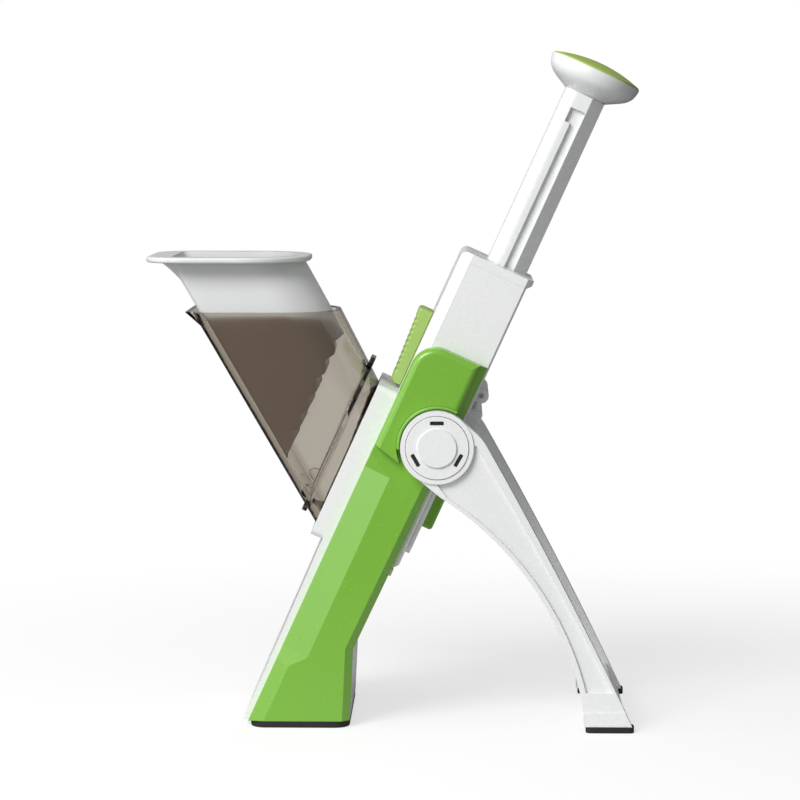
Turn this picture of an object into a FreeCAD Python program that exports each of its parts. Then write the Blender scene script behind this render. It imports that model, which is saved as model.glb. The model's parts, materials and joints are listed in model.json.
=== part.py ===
"""Upright mandoline slicer with a press handle, a leaning tower and two folding legs.

X runs from the feed chute (-X) to the legs (+X), Y across the tool and Z up, in millimetres.
The origin is the centre of the tower's foot on the floor. The user stands at -X, so -Y is the
right-hand side. Tower pieces are drawn in the tower's own frame: its origin is the leg hub, its
x runs towards the rear and its z runs up along the lean.
"""
import FreeCAD, Part
import math
import os
import re

import Sketcher

V = FreeCAD.Vector

# Driving sizes: millimetres, apart from the lean in degrees, slopes and counts.
SIZES = {
    # Stance
    "lean": 24.5,
    "hub_forward": 82.0,
    "hub_height": 170.0,
    "base_length": 59.5,
    "base_pad_thick": 4.0,
    "base_pad_round": 9.0,
    "base_pad_edge": 1.0,
    "knee_forward": 31.8,
    "knee_height": 47.0,
    # Clearances
    "slide_gap": 0.3,
    "run_gap": 0.06,
    "chute_gap": 0.4,
    "pusher_gap": 0.8,
    "cut_over": 5.0,
    # Tower core
    "tower_front": 34.0,
    "tower_rear": 9.4,
    "core_half": 44.0,
    "core_wall": 1.8,
    "sleeve_top": 106.0,
    "exit_top": 79.7,
    "rear_bevel": 1.2,
    "door_sill": 70.5,
    # Front panel and chute mount
    "panel_thick": 7.0,
    "strip_proud": 4.6,
    "strip_taper": 1.8,
    "panel_bevel": 3.0,
    "bevel_run": 6.6,
    "mouth_face": 46.5,
    "mouth_top": 15.1,
    "mouth_bottom": 73.7,
    "skirt_depth": 7.5,
    "collar_wall": 2.6,
    "collar_sill": 6.6,
    "collar_round": 4.0,
    # Side covers
    "cover_thick": 8.0,
    "cover_set": 1.4,
    "cover_bevel": 4.5,
    "cover_shell": 2.6,
    "cover_ring": 9.0,
    "shoulder_top": 54.0,
    "shoulder_round": 15.0,
    "shoulder_proud": 5.0,
    "shoulder_drop": 14.0,
    "shoulder_slope": 9.0,
    "shoulder_fillet": 4.0,
    "recess_gap": 2.6,
    "facet_across": 17.5,
    "facet_edge": 4.0,
    "facet_start": 0.5,
    "facet_top": 20.0,
    "facet_bottom": 157.0,
    "facet_run": 9.0,
    "heel_across": 25.5,
    "heel_edge": 6.0,
    "heel_long": 60.0,
    # Sleeve collar
    "lip_height": 5.6,
    "lip_reach": 2.6,
    "sleeve_round": 4.0,
    # Push rod and handle
    "stroke": 100.0,
    "rod_depth": 25.2,
    "rod_half": 14.0,
    "rod_front_round": 8.0,
    "rod_spine": 7.5,
    "rod_spare": 13.1,
    "rod_wall": 2.8,
    "groove_front": 1.7,
    "groove_rear": 4.0,
    "groove_deep": 2.6,
    "groove_lip": 0.6,
    "groove_end": 10.0,
    "notch_high": 9.0,
    "notch_front": 5.1,
    "neck_radius": 13.3,
    "rim_radius": 25.5,
    "cap_radius": 28.5,
    "flare_high": 7.0,
    "flare_radius": 16.0,
    "rim_high": 9.1,
    "dome_high": 5.4,
    "dome_edge": 0.8,
    # Blade carriage
    "crosshead_low": 58.0,
    "crosshead_high": 14.0,
    "socket_floor": 4.0,
    "pin_radius": 2.0,
    "pin_half": 20.0,
    "pin_rise": 4.7,
    "rail_deep": 7.0,
    "rail_wide": 3.5,
    "rail_foot": 4.0,
    "feed_thick": 2.6,
    "blade_thick": 1.4,
    "blade_deep": 14.0,
    "blade_slant": 8.0,
    "blade_rest": 1.6,
    "blade_bevel": 1.2,
    "blade_lap": 5.0,
    "slice_thick": 3.7,
    "deck_thick": 2.0,
    "deck_gap": 4.0,
    "guide_radius": 2.4,
    "guide_in": 6.6,
    "guide_side": 6.7,
    "seat_thick": 4.0,
    "seat_half": 5.2,
    "spring_radius": 3.6,
    "wire_radius": 0.55,
    "spring_shut": 38.0,
    "spring_turns": 14,
    # Feed chute
    "chute_wall": 2.4,
    "chute_round": 5.0,
    "roof_flat": 5.0,
    "chute_floor_slope": 0.714,
    "chute_roof_slope": 0.79,
    "chute_reach": 132.0,
    "chute_flare": 3.0,
    "rim_rise": 78.2,
    "bead_out": 9.2,
    "bead_wide": 3.0,
    "bead_proud": 1.0,
    "spout_high": 11.0,
    "spout_out": 5.0,
    "tab_half": 10.0,
    "tab_high": 6.0,
    "hook_high": 7.0,
    "boss_radius": 4.0,
    "boss_out": 12.0,
    "boss_up": 15.5,
    "boss_proud": 1.2,
    # Food pusher
    "teeth_face": 78.5,
    "tooth_deep": 3.0,
    "tooth_rows": 7,
    "tooth_columns": 7,
    "tooth_flat": 0.1,
    "column_gap": 5.0,
    "pusher_reach": 26.8,
    "pusher_wall": 2.0,
    "pusher_floor": 2.5,
    "pusher_roof_slope": 0.745,
    "pusher_round": 6.0,
    "flange_rise": 32.8,
    "flange_thick": 3.4,
    "flange_front": 13.3,
    "flange_rear": 6.0,
    "flange_side": 12.4,
    "flange_round": 24.0,
    "flange_rear_round": 40.0,
    "flange_edge": 1.3,
    "gusset_out": 6.0,
    "gusset_high": 20.0,
    "gusset_round": 67.0,
    # Chute latch
    "latch_gap": 2.3,
    "latch_long": 48.0,
    "latch_top": 9.0,
    "latch_bottom": 6.6,
    "latch_half": 14.0,
    "latch_travel": 8.0,
    "latch_neck_half": 8.0,
    "latch_key_half": 11.0,
    "latch_key_thick": 2.0,
    "latch_lip": 2.2,
    "latch_inset": 5.0,
    "latch_round": 2.0,
    "ridge_pitch": 5.0,
    "ridge_deep": 1.0,
    "ridge_count": 7,
    # Rear door and its latch
    "hinge_along": 36.5,
    "knuckle_radius": 4.5,
    "knuckle_inset": 7.0,
    "lug_wide": 5.2,
    "hinge_pin_radius": 1.5,
    "door_frame": 5.8,
    "door_lap": 2.0,
    "door_thick": 2.6,
    "door_bottom": 68.0,
    "door_top": 27.5,
    "door_round": 5.0,
    "block_low": 12.0,
    "block_high": 27.0,
    "block_proud": 5.6,
    "block_round": 1.6,
    "button_low": 53.0,
    "button_long": 34.0,
    "button_high": 7.2,
    "button_half": 12.0,
    "button_travel": 5.0,
    "button_neck_half": 5.0,
    "button_key_half": 8.5,
    "button_key_thick": 1.6,
    "button_inset": 7.0,
    "button_round": 2.0,
    # Legs
    "leg_gap": 0.4,
    "leg_thick": 9.6,
    "leg_rim": 3.8,
    "leg_dish": 1.8,
    "hub_radius": 21.7,
    "hub_proud": 1.0,
    "pivot_radius": 10.0,
    "cap_seat": 3.0,
    "hub_rim": 3.1,
    "hub_cap_thick": 3.2,
    "hub_boss_radius": 11.5,
    "hub_boss_high": 1.0,
    "slot_radius": 14.6,
    "slot_half": 4.1,
    "slot_wide": 2.3,
    "slot_deep": 1.6,
    "slot_round": 0.6,
    "slot_count": 3,
    "arch_start": 2.0,
    "arch_drop": 29.5,
    "arch_radius": 190.0,
    "heel": 88.6,
    "toe": 116.0,
    "ankle_in": 7.7,
    "ankle_rise": 16.4,
    "back_start": 27.0,
    "back_rise": 5.0,
    "back_radius": 2500.0,
    "back_round": 30.0,
    "shoe_high": 8.4,
    "shoe_proud": 0.9,
    "foot_pad_thick": 3.6,
    "foot_pad_round": 3.0,
    "foot_pad_toe": 1.2,
    "tie_set": 2.0,
    "tie_in": 6.0,
    "tie_edge": 0.8,
}

doc = FreeCAD.newDocument("mandoline_slicer")
sheet = doc.addObject("Spreadsheet::Sheet", "Dims")
for row, (alias, size) in enumerate(SIZES.items(), start=1):
    sheet.set(f"A{row}", alias)
    sheet.set(f"B{row}", str(size))
    sheet.setAlias(f"B{row}", alias)
doc.recompute()

TOWER, HUB, FLOOR = "tower", "hub", "floor"
RIGHT, LEFT = "right", "left"
SLACK = 0.1
pieces = {}


# Expressions

def bound(text):
    """Write the sheet's name before each size that an expression mentions."""
    return re.sub(r"[a-z_]+", lambda word: f"Dims.{word[0]}" if word[0] in SIZES else word[0], str(text))


def number(text):
    """Work an expression out as it stands now."""
    return float(sheet.evalExpression(bound(text)))


def in_tower(forward, height):
    """Turn a place in the part's frame, X and Z, into the tower's own x and z."""
    ahead = f"(({forward}) - hub_forward)"
    above = f"(({height}) - hub_height)"
    return (f"{ahead} * cos(lean) - {above} * sin(lean)", f"{ahead} * sin(lean) + {above} * cos(lean)")


def tower_z_at(across, height):
    """Tower z of the point at a tower x and a height over the floor."""
    return f"((({height}) - hub_height) + ({across}) * sin(lean)) / cos(lean)"


# Places in the tower's frame that several pieces share
FRONT = "-tower_front"
PANEL_BACK = "-tower_front + panel_thick"
REAR_INSIDE = "tower_rear - core_wall"
CORE_INSIDE = "core_half - core_wall"
CARRIAGE_HALF = f"{CORE_INSIDE} - slide_gap"
COVER_OUT = "core_half + cover_thick"
LEG_IN = f"{COVER_OUT} + leg_gap"
LEG_OUT = f"{LEG_IN} + leg_thick"
HUB_OUT = f"{LEG_OUT} + hub_proud"
CAP_IN = f"{HUB_OUT} - cap_seat + slide_gap"
ROD_REAR = f"{REAR_INSIDE} - slide_gap"
ROD_FRONT = f"{ROD_REAR} - rod_depth"
ROD_AXIS = f"{ROD_REAR} - rod_depth / 2"
ROD_BREAK = f"{ROD_AXIS} + groove_rear + groove_lip"
ROD_LOW = "crosshead_low + socket_floor"
LIP_TOP = "sleeve_top + lip_height"
ROD_TOP = f"{LIP_TOP} + stroke + rod_spare"
FEED_FRONT = f"{PANEL_BACK} + slide_gap"
FEED_BACK = f"{FEED_FRONT} + feed_thick"
DECK_FRONT = f"{FEED_FRONT} + blade_thick + slice_thick"
BLADE_LOW = "mouth_top + blade_rest"
BLADE_TOP = f"{BLADE_LOW} + blade_deep"
RAIL_LOW = "-mouth_bottom - blade_rest"
SPRING_SEAT = "crosshead_low - stroke - spring_shut"
CHUTE_HALF = "core_half - collar_wall - chute_gap"
ROOF_ARCH = f"({CHUTE_HALF} - roof_flat)"
SLANT = "sqrt(1 + chute_floor_slope * chute_floor_slope)"
WALL_SLANT = f"chute_wall * {SLANT}"
CHUTE_RIM = "hub_height + rim_rise"
FLANGE_TOP = f"{CHUTE_RIM} + flange_rise"
COLLAR_TOP = "mouth_top + chute_gap + collar_wall"
COLLAR_LOW = "-mouth_bottom - chute_gap - collar_sill"
LATCH_LOW = f"{COLLAR_TOP} + latch_gap"
DOOR_IN = "tower_rear + slide_gap"
DOOR_OUT = f"{DOOR_IN} + door_thick"
SOLE = "foot_pad_thick - hub_height"
ANKLE = f"{SOLE} + ankle_rise"
HUB_RECESS = "hub_radius + recess_gap"
CAP_RADIUS = "hub_radius - hub_rim"
GUIDE_X = f"{REAR_INSIDE} - guide_in"
GUIDE_Y = f"{CORE_INSIDE} - guide_side"
COVER_REAR = "tower_rear - cover_set"
DOOR_OPEN = f"{CORE_INSIDE} - door_frame"
DOOR_HALF = f"{DOOR_OPEN} + door_lap"
KNUCKLE_HALF = f"{DOOR_OPEN} - knuckle_inset"
HINGE_X = f"{REAR_INSIDE} + knuckle_radius"
PIN_ALONG = f"{ROD_LOW} + pin_rise"


# Bodies, sketches and features

def new_body(name, frame=TOWER):
    """Start a sub-part in the tower's frame, the level frame at the hub, or the part's frame."""
    body = doc.addObject("PartDesign::Body", name)
    body.Label = name
    place(body, frame)
    pieces[name] = body
    return body


def place(piece, frame):
    """Bind a sub-part's Placement to the stance."""
    if frame == FLOOR:
        return
    piece.Placement = FreeCAD.Placement(V(0, 0, 0), FreeCAD.Rotation(V(0, 1, 0), 1.0))
    piece.setExpression("Placement.Base.x", bound("hub_forward"))
    piece.setExpression("Placement.Base.z", bound("hub_height"))
    piece.setExpression("Placement.Rotation.Angle", bound("lean") if frame == TOWER else "0")


def sketch_on(body, name, plane, height="0", shift="0"):
    """Attach a sketch to one of the body's own planes, raised along its normal."""
    sketch = body.newObject("Sketcher::SketchObject", f"{body.Name}_{name}")
    support = next(item for item in body.Origin.OriginFeatures if item.Role == f"{plane}_Plane")
    sketch.AttachmentSupport = [(support, "")]
    sketch.MapMode = "FlatFace"
    sketch.setExpression(".AttachmentOffset.Base.z", bound(height))
    sketch.setExpression(".AttachmentOffset.Base.x", bound(shift))
    return sketch


def fix_point(sketch, geometry, end, x, y):
    """Hold a point of a sketch at two expressions."""
    for kind, text in (("DistanceX", x), ("DistanceY", y)):
        index = sketch.addConstraint(Sketcher.Constraint(kind, -1, 1, geometry, end, number(text)))
        sketch.setExpression(f"Constraints[{index}]", bound(text))


def arc_between(first, last, radius):
    """Arc from first to last: its centre lies left of the way for a positive radius, right for a negative."""
    chord = last - first
    half = chord.Length / 2
    rise = abs(radius) - math.sqrt(radius ** 2 - half ** 2)
    outward = V(chord.y, -chord.x, 0).normalize() * math.copysign(rise, radius)
    middle = (first + last) * 0.5 + outward
    ends = (first, last) if radius > 0 else (last, first)
    return Part.ArcOfCircle(ends[0], middle, ends[1])


def outline(body, name, plane, corners, height="0", shift="0"):
    """Closed outline, counter-clockwise. A third value in a corner is the radius of the arc to the next."""
    sketch = sketch_on(body, name, plane, height, shift)
    points = [V(number(corner[0]), number(corner[1]), 0) for corner in corners]
    ends = []
    for index, corner in enumerate(corners):
        here, there = points[index], points[(index + 1) % len(points)]
        if len(corner) == 2:
            sketch.addGeometry(Part.LineSegment(here, there), False)
            ends.append((1, 2))
        else:
            radius = number(corner[2])
            sketch.addGeometry(arc_between(here, there, radius), False)
            ends.append((1, 2) if radius > 0 else (2, 1))
    for index in range(len(corners)):
        follower = (index + 1) % len(corners)
        joint = (index, ends[index][1], follower, ends[follower][0])
        sketch.addConstraint(Sketcher.Constraint("Coincident", *joint))
    for index, corner in enumerate(corners):
        fix_point(sketch, index, ends[index][0], corner[0], corner[1])
        if len(corner) == 3:
            size = corner[2].lstrip("-")
            made = sketch.addConstraint(Sketcher.Constraint("Radius", index, number(size)))
            sketch.setExpression(f"Constraints[{made}]", bound(size))
    return sketch


def box_outline(low, high, radius=None):
    """Corners of a rectangle, rounded where a radius is given."""
    (x0, y0), (x1, y1) = low, high
    if radius is None:
        return [(x0, y0), (x1, y0), (x1, y1), (x0, y1)]
    r = f"({radius})"
    return [(f"{x0} + {r}", y0), (f"{x1} - {r}", y0, radius), (x1, f"{y0} + {r}"), (x1, f"{y1} - {r}", radius),
            (f"{x1} - {r}", y1), (f"{x0} + {r}", y1, radius), (x0, f"{y1} - {r}"), (x0, f"{y0} + {r}", radius)]


def barrel_outline(half, low, high, below, above):
    """Corners of a section with small rounds at its floor and large ones at its roof."""
    h, r, s = f"({half})", f"({below})", f"({above})"
    return [(f"-{h} + {r}", low), (f"{h} - {r}", low, below), (half, f"{low} + {r}"),
            (half, f"{high} - {s}", above), (f"{h} - {s}", high), (f"-{h} + {s}", high, above),
            (f"-{h}", f"{high} - {s}"), (f"-{h}", f"{low} + {r}", below)]


def handed(corners, side):
    """Corners of an XY outline as drawn for the left, or mirrored for the right."""
    return corners if side == LEFT else [(x, f"-({y})") for x, y in reversed(corners)]


def circle(body, name, plane, centre, radius, height="0"):
    """Circle sketch."""
    sketch = sketch_on(body, name, plane, height)
    middle = V(number(centre[0]), number(centre[1]), 0)
    sketch.addGeometry(Part.Circle(middle, V(0, 0, 1), number(radius)), False)
    fix_point(sketch, 0, 3, centre[0], centre[1])
    made = sketch.addConstraint(Sketcher.Constraint("Radius", 0, number(radius)))
    sketch.setExpression(f"Constraints[{made}]", bound(radius))
    return sketch


def pad(body, sketch, length, back=False, both=False):
    """Add a sketch's prism along its normal, against it, or half each way."""
    feature = body.newObject("PartDesign::Pad", f"{sketch.Name}_pad")
    feature.Profile = sketch
    feature.setExpression("Length", bound(length))
    feature.Reversed = back
    if both:
        feature.SideType = "Symmetric"
    doc.recompute()
    return feature


def pocket(body, sketch, length, along=False, both=False):
    """Cut a sketch's prism against its normal, along it, or half each way, and see that it cuts."""
    before = body.Shape.Volume
    feature = body.newObject("PartDesign::Pocket", f"{sketch.Name}_pocket")
    feature.Profile = sketch
    feature.setExpression("Length", bound(length))
    feature.Reversed = along
    if both:
        feature.SideType = "Symmetric"
    doc.recompute()
    if not body.Shape.Volume < before:
        raise RuntimeError(f"{sketch.Name} cuts nothing")
    return feature


def loft(body, sketches, cut=False):
    """Add or cut a ruled loft through sketches."""
    kind = "SubtractiveLoft" if cut else "AdditiveLoft"
    feature = body.newObject(f"PartDesign::{kind}", f"{sketches[0].Name}_loft")
    feature.Profile = sketches[0]
    feature.Sections = sketches[1:]
    feature.Ruled = True
    doc.recompute()
    return feature


def dress(body, kind, name, size, wanted):
    """Fillet or chamfer the edges of the body whose middle passes the test."""
    base = body.Tip
    names = []
    for index, edge in enumerate(base.Shape.Edges, start=1):
        middle = edge.valueAt((edge.FirstParameter + edge.LastParameter) / 2)
        if wanted(edge, middle):
            names.append(f"Edge{index}")
    if not names:
        raise RuntimeError(f"{body.Name} {name}: no edge found")
    feature = body.newObject(f"PartDesign::{kind}", f"{body.Name}_{name}")
    feature.Base = (base, names)
    feature.setExpression("Radius" if kind == "Fillet" else "Size", bound(size))
    doc.recompute()
    return feature


def near(first, second, slack=0.02):
    """True where two lengths are the same."""
    return abs(first - second) < slack


def runs_along(edge, axis):
    """True for a straight edge along an axis."""
    if not isinstance(edge.Curve, Part.Line):
        return False
    return near(abs(edge.Curve.Direction.dot(axis)), 1.0, 0.001)


def repeat(body, feature, axis, length, count):
    """Repeat a feature along one of the body's own axes."""
    pattern = body.newObject("PartDesign::LinearPattern", f"{feature.Name}_row")
    pattern.Originals = [feature]
    line = next(item for item in body.Origin.OriginFeatures if item.Role == f"{axis}_Axis")
    pattern.Direction = (line, [""])
    pattern.setExpression("Length", bound(length))
    pattern.setExpression("Occurrences", bound(count))
    body.Tip = pattern
    doc.recompute()
    return pattern


def side_height(side, out):
    """Height of an XZ sketch, whose normal is -Y, that lies at a distance out on one side."""
    return out if side == RIGHT else f"-({out})"


# Tower

def rod_section(grow="0"):
    """Section of the push rod: round towards the front, slanted to a flat spine behind, grown for openings."""
    front, rear = f"{ROD_FRONT} - ({grow})", f"{ROD_REAR} + ({grow})"
    half, spine = f"rod_half + ({grow})", f"rod_spine + ({grow})"
    big = f"rod_front_round + ({grow})"
    return [(f"{front} + {big}", f"-({half})"), (ROD_BREAK, f"-({half})"), (rear, f"-({spine})"), (rear, spine),
            (ROD_BREAK, half), (f"{front} + {big}", half, big), (front, f"{half} - ({big})"),
            (front, f"-({half}) + ({big})", big)]


def tower_core():
    """White tower: two side walls, a rear wall with the door opening, the slice exit and a floor."""
    body = new_body("tower_core")
    base_rear = in_tower("base_length / 2", "base_pad_thick")
    knee = in_tower("knee_forward", "knee_height")
    outside = [(PANEL_BACK, tower_z_at(PANEL_BACK, "base_pad_thick")), base_rear, knee,
               (knee[0], "-exit_top"), ("tower_rear", f"-exit_top + tower_rear - ({knee[0]})"),
               ("tower_rear", "sleeve_top"), (PANEL_BACK, "sleeve_top")]
    pad(body, outline(body, "outside", "XZ", outside), "2 * core_half", both=True)
    rear = number("tower_rear")
    dress(body, "Chamfer", "rear", "rear_bevel",
          lambda edge, at: runs_along(edge, V(0, 0, 1)) and near(at.x, rear))
    ahead = f"{PANEL_BACK} - cut_over"
    behind = "tower_rear + cut_over"
    floor = "base_pad_thick + core_wall"
    inside = [(ahead, tower_z_at(ahead, floor)), in_tower("base_length / 2 - core_wall", floor),
              in_tower("knee_forward - core_wall", "knee_height"), (behind, knee[1]), (behind, "-exit_top"),
              (REAR_INSIDE, "-exit_top"), (REAR_INSIDE, "sleeve_top + cut_over"),
              (ahead, "sleeve_top + cut_over")]
    pocket(body, outline(body, "inside", "XZ", inside), f"2 * ({CORE_INSIDE})", both=True)
    opening = box_outline((f"-({DOOR_OPEN})", "-door_sill"), (DOOR_OPEN, "door_top + slide_gap"))
    pocket(body, outline(body, "door", "YZ", opening, behind), "core_wall + 2 * cut_over")
    above = "hinge_along + knuckle_radius + 2 * slide_gap"
    beside = f"{KNUCKLE_HALF} + slide_gap"
    knuckle = box_outline((f"-({beside})", "door_top"), (beside, above))
    pocket(body, outline(body, "knuckle", "YZ", knuckle, behind), "core_wall + 2 * cut_over")
    for side in (RIGHT, LEFT):
        out = side_height(side, beside)
        lug = circle(body, f"lug_{side}", "XZ", (HINGE_X, "hinge_along"), "knuckle_radius", out)
        pad(body, lug, "lug_wide", back=side == LEFT)
        seat_in = f"{GUIDE_Y} - seat_half"
        y_low, y_high = (f"-({CORE_INSIDE})", f"-({seat_in})") if side == RIGHT else (seat_in, CORE_INSIDE)
        seat = box_outline((f"{GUIDE_X} - seat_half", y_low), (REAR_INSIDE, y_high))
        pad(body, outline(body, f"seat_{side}", "XY", seat, SPRING_SEAT), "seat_thick", back=True)
        hole = circle(body, f"guide_{side}", "XY", (GUIDE_X, across(side, GUIDE_Y)),
                      "guide_radius + run_gap", SPRING_SEAT)
        pocket(body, hole, "seat_thick")
    pin = circle(body, "pin", "XZ", (HINGE_X, "hinge_along"), "hinge_pin_radius + run_gap")
    pocket(body, pin, "4 * core_half", both=True)


def across(side, out):
    """Y of a place out on one side."""
    return f"-({out})" if side == RIGHT else out


def front_panel():
    """White front: a proud lower strip, the collar that the chute plugs into, and a plain upper part."""
    body = new_body("front_panel")
    strip = "-tower_front - strip_proud"
    toe = f"{strip} + strip_taper"
    side = [(toe, tower_z_at(toe, "base_pad_thick")), (PANEL_BACK, tower_z_at(PANEL_BACK, "base_pad_thick")),
            (PANEL_BACK, "sleeve_top"), (FRONT, "sleeve_top"), (FRONT, COLLAR_TOP), ("-mouth_face", COLLAR_TOP),
            ("-mouth_face", COLLAR_LOW), (strip, COLLAR_LOW)]
    pad(body, outline(body, "side", "XZ", side), "2 * core_half", both=True)
    sleeve_bevel(body, COLLAR_TOP, "sleeve_top")
    mouth = number("-mouth_face")
    dress(body, "Fillet", "collar", "collar_round",
          lambda edge, at: runs_along(edge, V(1, 0, 0)) and near(edge.BoundBox.XMin, mouth))
    half = f"{CHUTE_HALF} + chute_gap"
    seat = box_outline((f"-({half})", "-mouth_bottom - chute_gap"), (half, "mouth_top + chute_gap"),
                       "chute_round + chute_gap")
    pocket(body, outline(body, "seat", "YZ", seat, "-mouth_face"), "skirt_depth + chute_gap", along=True)
    clear = f"{CHUTE_HALF} - chute_wall"
    window = box_outline((f"-({clear})", "-mouth_bottom + chute_wall"), (clear, "mouth_top - chute_wall"),
                         "chute_round")
    pocket(body, outline(body, "window", "YZ", window, "-mouth_face"), "mouth_face", along=True)
    low, high = f"{LATCH_LOW} + latch_inset", f"{LATCH_LOW} + latch_long - latch_inset + latch_travel"
    neck = box_outline(("-latch_neck_half - slide_gap", f"{low} - slide_gap"),
                       ("latch_neck_half + slide_gap", f"{high} + slide_gap"))
    pocket(body, outline(body, "neck", "YZ", neck, FRONT), "latch_lip + latch_key_thick", along=True)
    key = box_outline(("-latch_key_half - slide_gap", f"{low} - slide_gap"),
                      ("latch_key_half + slide_gap", f"{high} + slide_gap"))
    key_depth = "latch_key_thick + 2 * slide_gap"
    pocket(body, outline(body, "key", "YZ", key, f"{FRONT} + latch_lip"), key_depth, along=True)


def front_corner(body, name, side, reach, edge, out, height):
    """Front corner that a slanted cut takes away, from an edge on the front to its reach on the side."""
    beyond = f"{out} + cut_over"
    corners = [(FRONT, edge), (f"{FRONT} + {reach}", out), (f"{FRONT} + {reach}", beyond),
               (f"{FRONT} - cut_over", beyond), (f"{FRONT} - cut_over", edge)]
    return outline(body, name, "XY", handed(corners, side), height)


def sleeve_bevel(body, low, high):
    """Slant both front edges of the sleeve from one height to another."""
    for side in (RIGHT, LEFT):
        slant = front_corner(body, f"bevel_{side}", side, "bevel_run", "core_half - panel_bevel",
                             "core_half", low)
        pocket(body, slant, f"{high} - ({low})", along=True)


def side_cover(side):
    """Green cover: straight side with a faceted front, a bevelled rear and a proud rounded shoulder."""
    body = new_body(f"{side}_cover")
    outwards = side == LEFT
    knee = in_tower("knee_forward", "knee_height")
    main = [(FRONT, tower_z_at(FRONT, "base_pad_thick")), in_tower("base_length / 2", "base_pad_thick"), knee,
            (COVER_REAR, "shoulder_top"), (f"{FRONT} + shoulder_round", "shoulder_top", "shoulder_round"),
            (FRONT, "shoulder_top - shoulder_round")]
    pad(body, outline(body, "main", "XZ", main, side_height(side, "core_half")), "cover_thick", back=outwards)
    out = number(across(side, COVER_OUT))
    knee_x = number(knee[0])
    dress(body, "Chamfer", "rear", "cover_bevel",
          lambda edge, at: near(at.y, out) and at.x > knee_x - SLACK and at.z < number("shoulder_top") - SLACK
          and not near(at.z, number(tower_z_at(str(at.x), "base_pad_thick"))))
    full, small = "tower_front - facet_across", "facet_start"
    thin, thick = "core_half + facet_edge", f"{COVER_OUT} - facet_start"
    heel, rest = "tower_front - heel_across", "core_half + heel_edge"
    stops = [("-facet_top", small, thick), ("-facet_top - facet_run", full, thin),
             ("-facet_bottom + facet_run", full, thin), ("-facet_bottom", heel, rest),
             ("-facet_bottom - heel_long", heel, rest)]
    sections = [front_corner(body, f"facet_{index}", side, reach, edge, COVER_OUT, height)
                for index, (height, reach, edge) in enumerate(stops)]
    loft(body, sections, cut=True)
    flat_rear = f"{COVER_REAR} - cover_bevel"
    shoulder = [(FRONT, "-shoulder_drop"), (flat_rear, "-shoulder_drop - shoulder_slope"),
                (flat_rear, "shoulder_top"), (f"{FRONT} + shoulder_round", "shoulder_top", "shoulder_round"),
                (FRONT, "shoulder_top - shoulder_round")]
    raised = outline(body, "shoulder", "XZ", shoulder, side_height(side, COVER_OUT))
    pad(body, raised, "shoulder_proud", back=outwards)
    top = number(across(side, f"{COVER_OUT} + shoulder_proud"))
    recess = circle(body, "recess", "XZ", ("0", "0"), HUB_RECESS, side_height(side, COVER_OUT))
    pocket(body, recess, "shoulder_proud", along=not outwards)
    low = number(HUB_RECESS)
    front = number(FRONT)
    dress(body, "Fillet", "lip", "shoulder_fillet",
          lambda edge, at: near(at.y, top) and (at.z > low or near(at.x, front)) and at.Length > low + SLACK)
    hole = circle(body, "pivot", "XZ", ("0", "0"), "pivot_radius + run_gap", side_height(side, "core_half"))
    pocket(body, hole, "cover_thick", along=not outwards)
    hollow = box_outline(("-facet_across + cover_shell", "-facet_bottom + cover_ring"),
                         (f"{flat_rear} - cover_shell", "-pivot_radius - cover_ring"), "cover_shell")
    inside = outline(body, "hollow", "XZ", hollow, side_height(side, "core_half"))
    pocket(body, inside, "cover_thick - cover_shell", along=not outwards)


def sleeve_collar():
    """White end of the sleeve, flush with it: a slanted rear lip and the opening that guides the push rod."""
    body = new_body("sleeve_collar")
    rear = "tower_rear + lip_reach"
    profile = [(FRONT, "sleeve_top"), ("tower_rear", "sleeve_top"), (rear, "sleeve_top + lip_reach"),
               (rear, LIP_TOP), (FRONT, LIP_TOP)]
    pad(body, outline(body, "profile", "XZ", profile), "2 * core_half", both=True)
    sleeve_bevel(body, "sleeve_top", LIP_TOP)
    inner, beyond = "core_half - rear_bevel - lip_reach", "core_half + cut_over"
    corner = [("tower_rear - rear_bevel", "core_half"), (rear, inner), (f"{rear} + cut_over", inner),
              (f"{rear} + cut_over", beyond), ("tower_rear - rear_bevel", beyond)]
    for side in (RIGHT, LEFT):
        cut = outline(body, f"corner_{side}", "XY", handed(corner, side), "sleeve_top")
        pocket(body, cut, "lip_height", along=True)
    top, front = number(LIP_TOP), number(FRONT)
    dress(body, "Fillet", "front", "sleeve_round", lambda edge, at: near(at.z, top) and near(at.x, front))
    opening = outline(body, "opening", "XY", rod_section("slide_gap"), "sleeve_top")
    pocket(body, opening, "lip_height", along=True)


def base_pad():
    """Black rubber pad under the tower."""
    body = new_body("base_pad", FLOOR)
    plan = box_outline(("-base_length / 2", f"-({COVER_OUT})"), ("base_length / 2", COVER_OUT),
                       "base_pad_round")
    pad(body, outline(body, "plan", "XY", plan), "base_pad_thick")
    dress(body, "Fillet", "edge", "base_pad_edge", lambda edge, at: near(at.z, 0))


def rod_part(name, frame, radius, start, length, axis):
    """Plain round rod: its start is bound in its own frame, and axis is its direction there."""
    rod = doc.addObject("Part::Cylinder", f"{name}_rod")
    rod.setExpression("Radius", bound(radius))
    rod.setExpression("Height", bound(length))
    turn = FreeCAD.Rotation(V(0, 0, 1), axis)
    rod.Placement = FreeCAD.Placement(V(0, 0, 0), turn)
    for letter, text in zip("xyz", start):
        rod.setExpression(f"Placement.Base.{letter}", bound(text))
    holder = doc.addObject("Part::Compound", name)
    holder.Label = name
    holder.Links = [rod]
    place(holder, frame)
    pieces[name] = holder


def guides_and_springs():
    """Steel guide rods up the tower's sides, each inside its return spring."""
    for side in (RIGHT, LEFT):
        y = across(side, GUIDE_Y)
        foot = f"{SPRING_SEAT} - seat_thick"
        rod_part(f"{side}_guide_rod", TOWER, "guide_radius", (GUIDE_X, y, foot), f"sleeve_top - ({foot})",
                 V(0, 0, 1))
        return_spring(side)


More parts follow.
